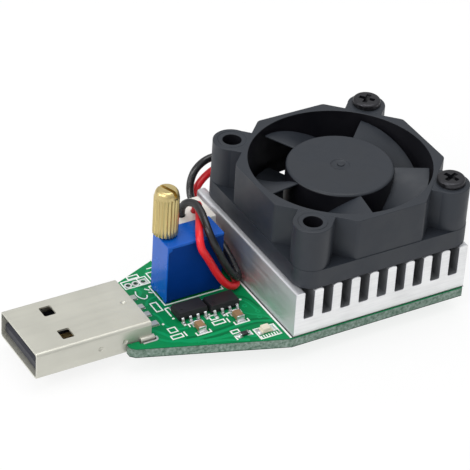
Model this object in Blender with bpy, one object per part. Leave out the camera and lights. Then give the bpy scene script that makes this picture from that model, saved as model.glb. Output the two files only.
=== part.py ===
# USB plug-in electronic load: a board with a plug, a finned heat sink, a fan and a multi-turn trimmer.
# Metres, +Z up. X runs from the plug's mouth to the fan, Y across the board.
# The origin is under the middle of the object, at the level that its underside rests on.
import math

import bmesh
import bpy
from mathutils import Matrix, Vector

# Clearances
SEAT = 0.00005            # between two pieces that are seated on each other
SLIP = 0.0001             # round a pin, shaft or lead in its hole
OVERCUT = 0.0002          # how far a cutter runs past the face that it opens
BITE = 0.0003             # how far a joined piece runs into the other

# Every place along X is measured from the plug's mouth, and every height from the board's underside.

# Plug
PLUG_LENGTH = 0.01875
PLUG_WIDTH = 0.012
PLUG_HEIGHT = 0.0045
PLUG_SHEET = 0.0003
PLUG_CORNER = 0.0006
PLUG_BELOW_BOARD = 0.0002
WINDOW_FROM = 0.00515
WINDOW_LENGTH = 0.0019
WINDOW_WIDTH = 0.00225
WINDOW_SIDE = 0.00302
DIMPLE_RADIUS = 0.0009
DIMPLE_DEPTH = 0.00012
TOP_DIMPLE_BEFORE_REAR = 0.00165
SIDE_DIMPLES_BEFORE_REAR = (0.00835, 0.00435)
LEG_BEFORE_REAR = 0.00195
LEG_LENGTH = 0.0023
LEG_STEP = 0.0004
LEG_BELOW_BOARD = 0.0006
LEG_SLOT_CLEARANCE = 0.0003
PLUG_NOTCH_CLEARANCE = 0.00015
PLUG_REAR_CLEARANCE = 0.00025
TONGUE_FROM = 0.0006
TONGUE_CHAMFER = 0.0004
TONGUE_THICKNESS = 0.00195
PLUG_BLOCK_LENGTH = 0.00675
CONTACT_INNER_SIDE = 0.001
CONTACT_OUTER_SIDE = 0.0035
CONTACT_SIDES = (-CONTACT_OUTER_SIDE, -CONTACT_INNER_SIDE, CONTACT_INNER_SIDE, CONTACT_OUTER_SIDE)
CONTACT_WIDTH = 0.001
CONTACT_THICKNESS = 0.00025
OUTER_CONTACT_FROM = 0.0016
INNER_CONTACT_FROM = 0.0026
CONTACT_TAIL_TO_BEND = 0.00055
CONTACT_TAIL_TO_FOOT = 0.00115
CONTACT_TAIL_TO_END = 0.00235
LEG_FROM = PLUG_LENGTH - LEG_BEFORE_REAR
PLUG_BLOCK_FROM = PLUG_LENGTH - PLUG_BLOCK_LENGTH
CONTACT_TAIL_BEND = PLUG_LENGTH + CONTACT_TAIL_TO_BEND
CONTACT_TAIL_FOOT = PLUG_LENGTH + CONTACT_TAIL_TO_FOOT
CONTACT_TAIL_END = PLUG_LENGTH + CONTACT_TAIL_TO_END

# Trimmer
PLUG_TO_TRIMMER = 0.00555
TRIMMER_FROM = PLUG_LENGTH + PLUG_TO_TRIMMER
TRIMMER_LENGTH = 0.00955
TRIMMER_WIDTH = 0.00483
TRIMMER_NEAR = 0.0
TRIMMER_TOP = 0.01205
TRIMMER_STANDOFF = 0.0004
TRIMMER_WALL = 0.00035
TRIMMER_SIDE_WALL = 0.00045
TRIMMER_ROOF = 0.00095
TRIMMER_EDGE = 0.0002
TRIMMER_BASE_THICKNESS = 0.001
TRIMMER_PIN_PITCH = 0.00254
TRIMMER_PIN_RADIUS = 0.00025
TRIMMER_PIN_BELOW = 0.0013
TRIMMER_PIN_ABOVE_BASE = 0.0004
PIN_HOLE_CLEARANCE = 0.00015

# Fan
FAN_SIZE = 0.03
FAN_HEIGHT = 0.01
FAN_HOLE_INSET = 0.003
FAN_SETBACK = 0.0008
POST_HOLE_RADIUS = 0.00145
FLANGE_HEIGHT = 0.0031
DUCT_FROM = FLANGE_HEIGHT / 3
POST_FROM = DUCT_FROM * 1.2
FAN_BORE_WALL = 0.001
DUCT_INSET = 0.0001
DUCT_CORNER_WALL = 0.00065
MOTOR_BASE_HEIGHT = 0.0012
MOTOR_FLOOR = 0.0005
BEARING_TUBE_OUTER = 0.003
BEARING_TUBE_TOP = 0.0071
STRUT_COUNT = 4
STRUT_WIDTH = 0.0022
STRUT_HEIGHT = 0.0013
CABLE_STRUT_ANGLE = 115.0
CABLE_STRUT_WIDTH = 0.0036
CABLE_STRUT_HEIGHT = 0.0019
CABLE_CHANNEL_WIDTH = 0.0028
CABLE_CHANNEL_HEIGHT = 0.0015
CABLE_CHANNEL_INSIDE_HUB = 0.00165
FAN_HOLE_SPACING = FAN_SIZE - 2 * FAN_HOLE_INSET
FAN_BORE_RADIUS = FAN_SIZE / 2 - FAN_BORE_WALL

# Heat sink, as wide as the fan on it
TRIMMER_TO_SINK = 0.00377
SINK_FROM = TRIMMER_FROM + TRIMMER_LENGTH + TRIMMER_TO_SINK
SINK_SPARE_LENGTH = 0.0001
SINK_LENGTH = FAN_SIZE + SINK_SPARE_LENGTH
SINK_WIDTH = FAN_SIZE
SINK_HEIGHT = 0.0075
SINK_BASE = 0.0026
FIN_COUNT = 10
SLOT_WIDTH = 0.00165
FIN_TIP_STEPS = 5
PAD_THICKNESS = 0.00015
PAD_MARGIN = 0.0005

# Circuit board
BOARD_THICKNESS = 0.0016
PLUG_ON_BOARD = 0.00415
BOARD_CHEEK = 0.0009
BOARD_CHAMFER = 0.0007
BOARD_SIDE_MARGIN = 0.00038
BOARD_WIDE_BEFORE_SINK = 0.00027
BOARD_BEHIND_SINK = -0.0003
BOARD_FAR_TAPER = (0.0197, 0.0384)
SPARE_HOLE_COUNT = 3
SPARE_HOLE_RADIUS = 0.00035
SPARE_HOLE_PITCH = 0.00127
PLUG_TO_SPARE_HOLES = 0.00275
SPARE_HOLE_SIDE = 0.0067
SPARE_HOLE_FROM = PLUG_LENGTH + PLUG_TO_SPARE_HOLES
BOARD_FRONT = PLUG_LENGTH - PLUG_ON_BOARD
BOARD_WIDE_FROM = SINK_FROM - BOARD_WIDE_BEFORE_SINK
BOARD_HALF = SINK_WIDTH / 2 + BOARD_SIDE_MARGIN
BOARD_END = SINK_FROM + SINK_LENGTH + BOARD_BEHIND_SINK

# Rotor and motor, heights from the fan's bottom
HUB_RADIUS = 0.00825
HUB_BELOW_TOP = 0.0007
HUB_FROM = 0.0022
HUB_WALL = 0.0008
HUB_ROOF = 0.001
HUB_ROUND = 0.0005
HUB_BOSS_RADIUS = 0.0017
HUB_BOSS_DROP = 0.0007
GATE_MARK_RADIUS = 0.0015
GATE_MARK_DEPTH = 0.00015
BLADE_COUNT = 5
BLADE_EDGE_ANGLE = 45.0
BLADE_SPAN_ROOT = 50.0
BLADE_SPAN_TIP = 60.0
BLADE_TOP_DROP = 0.0004
BLADE_FROM = 0.0029
BLADE_THICKNESS = 0.0007
BLADE_TIP_CLEARANCE = 0.0005
BLADE_CAMBER = 0.45
BLADE_EDGE_SHARE = 0.35
BLADE_EDGE_BLUNT = 0.08
BLADE_CHORD_STEPS = 8
BLADE_RADIAL_STEPS = 3
YOKE_WALL = 0.0006
YOKE_HEIGHT = 0.0058
MAGNET_WALL = 0.001
MAGNET_HEIGHT = 0.0052
MAGNET_RISE = 0.0004
AIR_GAP = 0.0003
SHAFT_RADIUS = 0.00075
SHAFT_FROM = 0.0009
SHAFT_SEAT_DEPTH = 0.0012
SHAFT_GROOVE_DEPTH = 0.0002
CLIP_RADIUS = 0.0016
CLIP_THICKNESS = 0.0002
CLIP_HEIGHT = 0.0012
BEARING_WALL = 0.0015
BEARING_FROM = 0.0017
BEARING_BELOW_TUBE = 0.0002
STATOR_FROM = 0.0034
STATOR_HEIGHT = 0.0024
STATOR_POLES = 4
STATOR_RING_WALL = 0.0005
STATOR_NECK = 0.0014
STATOR_SHOE_END = 0.0003
STATOR_SHOE_ANGLE = 26.0
COIL_BUILD = 0.0005
COIL_CLEARANCE = 0.0001
DRIVER_BOARD_THICKNESS = 0.0006
DRIVER_BOARD_MARGIN = 0.0012

# Fan screws
SCREW_HEAD_RADIUS = 0.00215
SCREW_HEAD_HEIGHT = 0.00095
SCREW_HEAD_SHAPE = ((0.0, 1.0), (0.8, 1.0), (0.94, 0.9), (1.0, 0.64))   # shares of radius and height
SCREW_SHANK_RADIUS = 0.00115
SCREW_LENGTH = 0.0142
SCREW_POINT = 0.0008
SCREW_CROSS_LENGTH = 0.0023
SCREW_CROSS_WIDTH = 0.0006
SCREW_CROSS_DEPTH = 0.0007
SCREW_CROSS_TURN = 20.0

# Knob and worm on one axis, wheel across it
SCREW_AXIS_FROM_END = 0.0013
SCREW_AXIS_FROM_FAR = 0.00143
SCREW_AXIS_X = TRIMMER_FROM + SCREW_AXIS_FROM_END
SCREW_AXIS_Y = TRIMMER_NEAR + TRIMMER_WIDTH - SCREW_AXIS_FROM_FAR
KNOB_RADIUS = 0.00195
KNOB_GAP = 0.00025
KNOB_HEIGHT = 0.0079
KNOB_CROWN = 0.0012
KNOB_CROWN_RADIUS = 0.00145
KNOB_CROWN_STEPS = 4
KNURL_COUNT = 22
KNURL_DEPTH = 0.00014
KNOB_SLOT_WIDTH = 0.00055
KNOB_SLOT_DEPTH = 0.0009
KNOB_SLOT_ANGLE = 111.0
KNOB_BORE_DEPTH = 0.0015
WORM_HEAD_RADIUS = 0.00105
WORM_HEAD_HEIGHT = 0.0013
WORM_NECK_RADIUS = 0.0007
WORM_COLLAR_RADIUS = 0.0009
WORM_COLLAR_HEIGHT = 0.0004
WORM_PITCH_RADIUS = 0.00065
WORM_PITCH = 0.0005
WORM_ADDENDUM = 0.0002
WORM_TIP_HALF = 0.00005
WORM_ROOT_HALF = 0.00013
WORM_TURNS = 9
WORM_STEPS = 12
WORM_PIVOT_RADIUS = 0.00045
SEAL_EDGE = 0.0001
SEAL_SEAT_DEPTH = 0.0006
WHEEL_TEETH = 35
WHEEL_ADDENDUM = 0.00015
WHEEL_DEDENDUM = 0.00022
WHEEL_TIP_HALF = 0.000045
WHEEL_ROOT_HALF = 0.00015
WHEEL_THICKNESS = 0.001
WHEEL_AXLE_RADIUS = 0.0007
WHEEL_AXLE_LENGTH = 0.0003
WIPER_LENGTH = 0.0036
WIPER_WIDTH = 0.0009
WIPER_THICKNESS = 0.0002
WIPER_FOOT_RADIUS = 0.0003
ELEMENT_LENGTH = 0.0072
ELEMENT_BELOW_ROOF = 0.0005
ELEMENT_THICKNESS = 0.0006

# Fan connector
HEADER_LENGTH = 0.0074
HEADER_WIDTH = 0.00575
HEADER_HEIGHT = 0.007
HEADER_WALL = 0.0007
HEADER_FLOOR = 0.0014
HEADER_BEFORE_SINK = 0.00587
HEADER_GAP = 0.00042
HEADER_PITCH = 0.0025
HEADER_PIN_SIDE = 0.00064
HEADER_PIN_BELOW = 0.0016
HEADER_PIN_ABOVE_FLOOR = 0.0042
HEADER_NOTCH_WIDTH = 0.0012
HEADER_NOTCH_HEIGHT = 0.0038
FAN_PLUG_ABOVE_HEADER = 0.0028
FAN_PLUG_MARGIN = 0.00035
FAN_PLUG_SLACK = 0.0002
FAN_PLUG_SOCKET_HEIGHT = 0.0049
FAN_PLUG_LEAD_DEPTH = 0.0018
LEAD_ROW_FROM_NEAR = 0.00225
HEADER_CENTRE_X = SINK_FROM - HEADER_BEFORE_SINK
HEADER_NEAR = TRIMMER_NEAR + TRIMMER_WIDTH + HEADER_GAP
LEAD_ROW_Y = HEADER_NEAR + LEAD_ROW_FROM_NEAR

# Leads, diameter and the points that each follows
LEAD_RADIUS = 0.0006
LEAD_SPACING = 0.0013
LEAD_STEP = 0.00125
LEAD_HOLE_CLEARANCE = 0.00015
LEAD_END_CLEARANCE = 0.0006
LEAD_CHANNEL_CLEARANCE = 0.00015
LEAD_ENTRY_REACHES = (1.12, 0.85)   # shares of half the fan's size
BLACK_ROUTE = (
    (0.0306, 0.00735, 0.013), (0.031, 0.0065, 0.0142), (0.0315, 0.005, 0.0147),
    (0.0315, 0.0032, 0.0144), (0.0312, 0.0013, 0.0138), (0.03105, -0.0002, 0.01295),
    (0.03135, -0.001, 0.0117), (0.032, -0.00115, 0.0102), (0.0331, -0.0012, 0.0079),
    (0.0342, -0.00125, 0.0059), (0.0352, -0.0012, 0.0045), (0.0361, -0.00085, 0.0036),
    (0.0366, 0.00005, 0.00355), (0.0366, 0.0014, 0.0044), (0.0365, 0.0033, 0.0055),
    (0.03645, 0.007, 0.0065), (0.0364, 0.011, 0.0071), (0.0365, 0.014, 0.0076),
    (0.0367, 0.0156, 0.0086), (0.0372, 0.0165, 0.0102), (0.0382, 0.0169, 0.0118),
    (0.04, 0.0171, 0.0129), (0.0422, 0.0172, 0.013), (0.0444, 0.0172, 0.0121),
    (0.046, 0.01695, 0.01105),
)
RED_ROUTE = (
    (0.033, 0.0074, 0.0125), (0.0328, 0.0065, 0.0133), (0.0322, 0.0051, 0.0134),
    (0.0314, 0.0035, 0.01305), (0.0305, 0.0019, 0.01295), (0.02975, 0.0005, 0.0129),
    (0.0293, -0.0006, 0.0123), (0.02935, -0.0012, 0.0111), (0.03, -0.0012, 0.0099),
    (0.0309, -0.00115, 0.0083), (0.0321, -0.0012, 0.006), (0.0334, -0.0014, 0.004),
    (0.0346, -0.0014, 0.00285), (0.0358, -0.0009, 0.00235), (0.0365, 0.0004, 0.00232),
    (0.0367, 0.003, 0.0028), (0.03665, 0.008, 0.004), (0.0366, 0.012, 0.0049),
    (0.03685, 0.0148, 0.006), (0.0376, 0.0162, 0.0074), (0.0389, 0.0167, 0.0092),
    (0.0403, 0.0168, 0.0104), (0.0419, 0.0169, 0.011), (0.0434, 0.0168, 0.0108),
    (0.0446, 0.0164, 0.01045),
)

# Small parts on the board's top, placed from the plug's rear and the board's middle line
CHIP_LENGTH = 0.0049
CHIP_WIDTH = 0.0028
CHIP_HEIGHT = 0.0014
CHIP_EDGE = 0.00015
CHIP_LEAD_SPAN = 0.0046
CHIP_LEAD_PITCH = 0.00127
CHIP_LEAD_COUNT = 4
CHIP_LEAD_WIDTH = 0.0004
CHIP_LEAD_THICKNESS = 0.00018
CHIP_LEAD_FOOT = 0.0005
CHIP_SHOULDER = 0.0007
AMPLIFIER_OFFSET = (0.01295, -0.0037)
CONTROLLER_OFFSET = (0.00775, -0.0033)
CAPACITOR_LENGTH = 0.002
CAPACITOR_WIDTH = 0.00125
CAPACITOR_HEIGHT = 0.0009
CAPACITOR_CAP = 0.0004
CAPACITOR_CAP_PROUD = 0.00004
CAPACITOR_OFFSETS = ((0.00745, -0.0072), (0.01385, -0.0073))
LAMP_LENGTH = 0.002
LAMP_WIDTH = 0.00125
LAMP_FOOT_HEIGHT = 0.0003
LAMP_HEIGHT = 0.0008
LAMP_DOME_MARGIN = 0.0003
LAMP_DOME_TAPER = 0.9
LAMP_OFFSET = (0.01595, -0.0119)
RESISTOR_LENGTH = 0.0016
RESISTOR_WIDTH = 0.0008
RESISTOR_HEIGHT = 0.00045
RESISTOR_CAP = 0.0003
RESISTOR_OFFSET = (0.0126, -0.01145)

# Power parts on the board's underside, under the heat sink
TRANSISTOR_BEHIND_SINK_FRONT = 0.01038
TRANSISTOR_BODY_LENGTH = 0.0061
TRANSISTOR_BODY_WIDTH = 0.0066
TRANSISTOR_HEIGHT = 0.0023
TRANSISTOR_TAB_THICKNESS = 0.0005
TRANSISTOR_TAB_WIDTH = 0.0053
TRANSISTOR_TAB_OUT = 0.0011
TRANSISTOR_TAB_INSIDE = 0.0045
TRANSISTOR_LEAD_SIDE = 0.00228
TRANSISTOR_LEAD_WIDTH = 0.0008
TRANSISTOR_LEAD_OUT = 0.0027
TRANSISTOR_LEAD_FOOT = 0.0012
TRANSISTOR_EDGE = 0.0002
SHUNT_BEHIND_SINK_FRONT = 0.00218
SHUNT_LENGTH = 0.0063
SHUNT_WIDTH = 0.0032
SHUNT_HEIGHT = 0.0008
SHUNT_CAP = 0.0006
SHUNT_CAP_PROUD = 0.00005
TRANSISTOR_AT = SINK_FROM + TRANSISTOR_BEHIND_SINK_FRONT
SHUNT_AT = (SINK_FROM + SHUNT_BEHIND_SINK_FRONT, 0.0)

# Facets of round pieces
FINE = 48
ROUND = 24
SMALL = 12
SMOOTH_ANGLE = 35.0

# Where the board stands in the object's own frame
SINK_Z = BOARD_THICKNESS + SEAT + PAD_THICKNESS + SEAT
FAN_Z = SINK_Z + SINK_HEIGHT + SEAT
FAN_X = SINK_FROM + FAN_SETBACK + FAN_SIZE / 2
OVERALL_LENGTH = FAN_X + FAN_SIZE / 2
FEET_DEPTH = TRANSISTOR_HEIGHT + SEAT
FIN_THICKNESS = (SINK_LENGTH - (FIN_COUNT - 1) * SLOT_WIDTH) / FIN_COUNT
FIN_PITCH = FIN_THICKNESS + SLOT_WIDTH
WHEEL_PITCH_RADIUS = WHEEL_TEETH * WORM_PITCH / math.tau


def place(x, y, z):
    """A point given from the plug's mouth and the board's underside, in the object's frame"""
    return Vector((x - OVERALL_LENGTH / 2, y, z + FEET_DEPTH))


# Building blocks

def clear_scene():
    for obj in list(bpy.data.objects):
        bpy.data.objects.remove(obj, do_unlink=True)


def plain_material(name, colour, roughness, metallic=0.0):
    material = bpy.data.materials.new(name)
    material.use_nodes = True
    shader = material.node_tree.nodes["Principled BSDF"]
    shader.inputs["Base Color"].default_value = (*colour, 1.0)
    shader.inputs["Roughness"].default_value = roughness
    shader.inputs["Metallic"].default_value = metallic
    return material


def make_object(name, bm, material=None, at=None, turn=None):
    bmesh.ops.recalc_face_normals(bm, faces=bm.faces)
    mesh = bpy.data.meshes.new(name)
    bm.to_mesh(mesh)
    bm.free()
    obj = bpy.data.objects.new(name, mesh)
    bpy.context.collection.objects.link(obj)
    if material:
        mesh.materials.append(material)
    mesh.shade_smooth()
    mesh.set_sharp_from_angle(angle=math.radians(SMOOTH_ANGLE))
    if at:
        obj.location = at
    if turn:
        obj.rotation_euler = turn
    return obj


def spread(axis, a, b, along):
    return {"x": (along, a, b), "y": (a, along, b), "z": (a, b, along)}[axis]


def prism(outline, low, high, axis="z", hole=None):
    """An outline pushed from low to high; the hole has as many points as the outline"""
    bm = bmesh.new()
    loops = []
    for points in (outline, hole) if hole else (outline,):
        for along in (low, high):
            loops.append([bm.verts.new(spread(axis, a, b, along)) for a, b in points])
    count = len(outline)
    for start in range(0, len(loops), 2):
        for i in range(count):
            j = (i + 1) % count
            bm.faces.new((loops[start][i], loops[start][j], loops[start + 1][j], loops[start + 1][i]))
    if hole:
        for end in range(2):
            for i in range(count):
                j = (i + 1) % count
                bm.faces.new((loops[end][i], loops[end][j], loops[end + 2][j], loops[end + 2][i]))
    else:
        bm.faces.new(loops[0])
        bm.faces.new(loops[1])
    return bm


def box(size, centre=(0, 0, 0)):
    bm = bmesh.new()
    bmesh.ops.create_cube(bm, size=1.0)
    bmesh.ops.scale(bm, vec=size, verts=bm.verts)
    bmesh.ops.translate(bm, vec=centre, verts=bm.verts)
    return bm


def circle(radius, steps, centre=(0, 0), start=0.0):
    turns = [start + math.tau * i / steps for i in range(steps)]
    return [(centre[0] + radius * math.cos(t), centre[1] + radius * math.sin(t)) for t in turns]


def rounded_rectangle(width, height, radius, steps=4, centre=(0, 0)):
    points = []
    for quarter, (sx, sy) in enumerate(((1, 1), (-1, 1), (-1, -1), (1, -1))):
        cx = centre[0] + sx * (width / 2 - radius)
        cy = centre[1] + sy * (height / 2 - radius)
        for step in range(steps + 1):
            turn = math.pi / 2 * (quarter + step / steps)
            points.append((cx + radius * math.cos(turn), cy + radius * math.sin(turn)))
    return points


def lathe(profile, steps):
    """A profile of (radius, height) points turned about Z; a closed ring where it misses the axis"""
    bm = bmesh.new()
    rings = []
    on_axis = 1e-9
    for radius, height in profile:
        if radius < on_axis:
            rings.append([bm.verts.new((0, 0, height))])
        else:
            rings.append([bm.verts.new((x, y, height)) for x, y in circle(radius, steps)])
    pairs = list(zip(rings, rings[1:]))
    if len(rings[0]) > 1:
        pairs.append((rings[-1], rings[0]))
    for lower, upper in pairs:
        for i in range(steps):
            j = (i + 1) % steps
            around = [ring[k % len(ring)] for ring, k in ((lower, i), (lower, j), (upper, j), (upper, i))]
            corners = list(dict.fromkeys(around))
            if len(corners) > 2:
                bm.faces.new(corners)
    return bm


def soften(bm, width, steps=2, angle=60.0):
    """Bevel the edges that are sharper than the angle"""
    edges = [e for e in bm.edges if len(e.link_faces) == 2 and e.calc_face_angle() > math.radians(angle)]
    bmesh.ops.bevel(bm, geom=edges, offset=width, segments=steps, profile=0.5, affect="EDGES")
    return bm


def combine(target, tools, operation):
    """Join tools to the target, or cut them from it, one after the other"""
    for tool in tools:
        tool.hide_render = True
        tool.display_type = "WIRE"
        modifier = target.modifiers.new(operation.lower(), "BOOLEAN")
        modifier.operation = operation
        modifier.solver = "EXACT"
        modifier.object = tool
        bpy.context.view_layer.update()
        graph = bpy.context.evaluated_depsgraph_get()
        result = bpy.data.meshes.new_from_object(target.evaluated_get(graph))
        old = target.data
        target.modifiers.clear()
        target.data = result
        name = old.name
        bpy.data.meshes.remove(old)
        result.name = name
        bpy.data.objects.remove(tool, do_unlink=True)
    target.data.shade_smooth()
    target.data.set_sharp_from_angle(angle=math.radians(SMOOTH_ANGLE))
    return target


def cut(target, tools):
    return combine(target, tools, "DIFFERENCE")


def join(target, tools):
    return combine(target, tools, "UNION")


def post(radius, low, high, at, steps=SMALL, turn=None):
    """A plain cylinder, for a joined post or a cutter"""
    return make_object("tool", prism(circle(radius, steps), low, high), at=at, turn=turn)


def block(size, at, turn=None):
    """A plain box, for a joined bar or a cutter"""
    return make_object("tool", box(size), at=at, turn=turn)


# Circuit board

def leg_slot():
    inner = PLUG_WIDTH / 2 + PLUG_NOTCH_CLEARANCE
    outer = PLUG_WIDTH / 2 + LEG_STEP + PLUG_SHEET / 2 + LEG_SLOT_CLEARANCE
    start = LEG_FROM - LEG_SLOT_CLEARANCE
    end = LEG_FROM + LEG_LENGTH + LEG_SLOT_CLEARANCE
    return inner, outer, start, end


def board_outline():
    inner, outer, start, end = leg_slot()
    rear = PLUG_LENGTH + PLUG_REAR_CLEARANCE
    front_half = outer + BOARD_CHEEK
    front = [
        (rear, inner), (end, inner), (end, outer), (start, outer), (start, inner), (BOARD_FRONT, inner),
        (BOARD_FRONT, front_half - BOARD_CHAMFER), (BOARD_FRONT + BOARD_CHAMFER, front_half),
    ]
    near = front + [(BOARD_WIDE_FROM, BOARD_HALF), (BOARD_END, BOARD_HALF)]
    far = front + [(BOARD_FAR_TAPER[0], front_half), (BOARD_FAR_TAPER[1], BOARD_HALF), (BOARD_END, BOARD_HALF)]
    return far + [(x, -y) for x, y in reversed(near)]


def make_board(mask):
    board = make_object("board", prism(board_outline(), 0, BOARD_THICKNESS), mask, place(0, 0, 0))
    holes = []
    for x in trimmer_pin_places():
        holes.append((x, SCREW_ROW_Y, TRIMMER_PIN_RADIUS + PIN_HOLE_CLEARANCE))
    for x in header_pin_places():
        holes.append((x, LEAD_ROW_Y, HEADER_PIN_SIDE * math.sqrt(0.5) + PIN_HOLE_CLEARANCE))
    for i in range(SPARE_HOLE_COUNT):
        holes.append((SPARE_HOLE_FROM + i * SPARE_HOLE_PITCH, SPARE_HOLE_SIDE, SPARE_HOLE_RADIUS))
    cutters = []
    for x, y, radius in holes:
        cutters.append(post(radius, -OVERCUT, BOARD_THICKNESS + OVERCUT, place(x, y, 0)))
    return cut(board, cutters)


# Plug

def plug_middle():
    return PLUG_HEIGHT / 2 - PLUG_BELOW_BOARD


def make_plug_shell(nickel):
    middle = plug_middle()
    outer = rounded_rectangle(PLUG_WIDTH, PLUG_HEIGHT, PLUG_CORNER)
    inner = rounded_rectangle(
        PLUG_WIDTH - 2 * PLUG_SHEET, PLUG_HEIGHT - 2 * PLUG_SHEET, PLUG_CORNER - PLUG_SHEET)
    shell = make_object(
        "usb_shell", prism(outer, 0, PLUG_LENGTH, "x", inner), nickel, place(0, 0, middle))
    window_x = WINDOW_FROM + WINDOW_LENGTH / 2
    cutters = []
    for side in (-1, 1):
        size = (WINDOW_LENGTH, WINDOW_WIDTH, PLUG_HEIGHT + OVERCUT)
        cutters.append(block(size, place(window_x, side * WINDOW_SIDE, middle)))
    reach = DIMPLE_RADIUS - DIMPLE_DEPTH
    dimples = [(PLUG_LENGTH - TOP_DIMPLE_BEFORE_REAR, 0.0, middle + PLUG_HEIGHT / 2 + reach)]
    for before in SIDE_DIMPLES_BEFORE_REAR:
        for side in (-1, 1):
            dimples.append((PLUG_LENGTH - before, side * (PLUG_WIDTH / 2 + reach), middle))
    for x, y, z in dimples:
        bm = bmesh.new()
        bmesh.ops.create_icosphere(bm, subdivisions=2, radius=DIMPLE_RADIUS)
        cutters.append(make_object("tool", bm, at=place(x, y, z)))
    cut(shell, cutters)
    legs = []
    for side in (-1, 1):
        legs.append(plug_leg(side))
    return join(shell, legs)


def plug_leg(side):
    """A tab that steps out of the side wall and goes down into its slot in the board"""
    wall = PLUG_WIDTH / 2 - PLUG_SHEET / 2
    out = PLUG_WIDTH / 2 + LEG_STEP - PLUG_SHEET / 2
    top = plug_middle()
    step = top - PLUG_SHEET
    foot = -LEG_BELOW_BOARD
    outline = [
        (wall, step), (out, step), (out, foot), (out + PLUG_SHEET, foot), (out + PLUG_SHEET, top),
        (wall, top),
    ]
    points = [(side * y, z) for y, z in outline]
    bm = prism(points, LEG_FROM, LEG_FROM + LEG_LENGTH, "x")
    return make_object("tool", bm, at=place(0, 0, 0))


def contact_level():
    """The underside of the contacts, which lie a little sunk in the tongue"""
    tongue_top = plug_middle() - PLUG_HEIGHT / 2 + PLUG_SHEET + SEAT + TONGUE_THICKNESS
    return tongue_top - CONTACT_THICKNESS / 2


def make_plug_insulator(nylon):
    low = plug_middle() - PLUG_HEIGHT / 2 + PLUG_SHEET + SEAT
    high = plug_middle() + PLUG_HEIGHT / 2 - PLUG_SHEET - SEAT
    tongue = low + TONGUE_THICKNESS
    front = TONGUE_FROM + TONGUE_CHAMFER
    outline = [
        (TONGUE_FROM, low + TONGUE_CHAMFER), (front, low), (PLUG_LENGTH - PLUG_SHEET, low),
        (PLUG_LENGTH - PLUG_SHEET, high), (PLUG_BLOCK_FROM, high), (PLUG_BLOCK_FROM, tongue),
        (front, tongue), (TONGUE_FROM, tongue - TONGUE_CHAMFER),
    ]
    half = PLUG_WIDTH / 2 - PLUG_SHEET - SEAT
    # the chamfers follow the rounded corners inside the shell
    block_bm = prism(outline, -half, half, "y")
    along = [e for e in block_bm.edges if abs(e.verts[0].co.y - e.verts[1].co.y) < SEAT
             and abs(e.verts[0].co.z - e.verts[1].co.z) < SEAT and e.calc_length() > PLUG_SHEET
             and (abs(e.verts[0].co.z - low) < SEAT or abs(e.verts[0].co.z - high) < SEAT)]
    bmesh.ops.bevel(block_bm, geom=along, offset=PLUG_CORNER - PLUG_SHEET, segments=1, affect="EDGES")
    insulator = make_object("usb_insulator", block_bm, nylon, place(0, 0, 0))
    cutters = []
    level = contact_level() - SEAT
    for side in CONTACT_SIDES:
        start = contact_start(side) - SLIP
        length = PLUG_LENGTH - start
        size = (length, CONTACT_WIDTH + 2 * SEAT, CONTACT_THICKNESS + 2 * SEAT)
        cutters.append(block(size, place(start + length / 2, side, level + size[2] / 2)))
    return cut(insulator, cutters)


def contact_start(side):
    return OUTER_CONTACT_FROM if abs(side) == max(CONTACT_SIDES) else INNER_CONTACT_FROM


def make_contacts(gold):
    """Flat strips on the tongue, which step down behind the plug onto the board"""
    low = contact_level()
    high = low + CONTACT_THICKNESS
    foot = BOARD_THICKNESS + SEAT
    for number, side in enumerate(CONTACT_SIDES, start=1):
        start = contact_start(side)
        outline = [
            (start, low), (CONTACT_TAIL_BEND, low), (CONTACT_TAIL_FOOT - CONTACT_THICKNESS, foot),
            (CONTACT_TAIL_END, foot), (CONTACT_TAIL_END, foot + CONTACT_THICKNESS),
            (CONTACT_TAIL_FOOT, foot + CONTACT_THICKNESS), (CONTACT_TAIL_BEND + CONTACT_THICKNESS, high),
            (start, high),
        ]
        bm = prism(outline, -CONTACT_WIDTH / 2, CONTACT_WIDTH / 2, "y")
        make_object(f"usb_contact_{number}", bm, gold, place(0, side, 0))


# Heat sink

def sink_outline():
    """The section across the fins: a base, and fins with rounded tips"""
    points = [(0, 0)]
    tip = FIN_THICKNESS / 2
    for fin in range(FIN_COUNT):
        left = fin * FIN_PITCH
        if fin > 0:
            points.append((left, SINK_BASE))
        for step in range(FIN_TIP_STEPS + 1):
            turn = math.pi * (1 - step / FIN_TIP_STEPS)
            points.append((left + tip + tip * math.cos(turn), SINK_HEIGHT - tip * (1 - math.sin(turn)) / 2))
        if fin < FIN_COUNT - 1:
            points.append((left + FIN_THICKNESS, SINK_BASE))
    points.append((SINK_LENGTH, 0))
    return points


def make_sink(aluminium):
    bm = prism(sink_outline(), -SINK_WIDTH / 2, SINK_WIDTH / 2, "y")
    sink = make_object("heatsink", bm, aluminium, place(SINK_FROM, 0, SINK_Z))
    depth = FAN_HEIGHT + SEAT + SINK_HEIGHT - SCREW_LENGTH
    cutters = []
    for x, y in screw_places():
        low = SINK_Z + depth - OVERCUT
        at = place(x, y, low)
        cutters.append(post(SCREW_SHANK_RADIUS + SLIP, 0, SINK_HEIGHT, at, ROUND))
    return cut(sink, cutters)


def make_pad(pad):
    size = (SINK_LENGTH - 2 * PAD_MARGIN, SINK_WIDTH - 2 * PAD_MARGIN, PAD_THICKNESS)
    at = place(SINK_FROM + SINK_LENGTH / 2, 0, BOARD_THICKNESS + SEAT + PAD_THICKNESS / 2)
    make_object("thermal_pad", box(size), pad, at)


# Fan frame

def fan_place(x=0.0, y=0.0, z=0.0):
    return place(FAN_X + x, y, FAN_Z + z)


def fan_corners():
    half = FAN_HOLE_SPACING / 2
    return [(-half, -half), (half, -half), (half, half), (-half, half)]


def screw_places():
    """The two posts over the last slot between the fins"""
    return [(FAN_X + x, y) for x, y in fan_corners() if x > 0]


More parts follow.
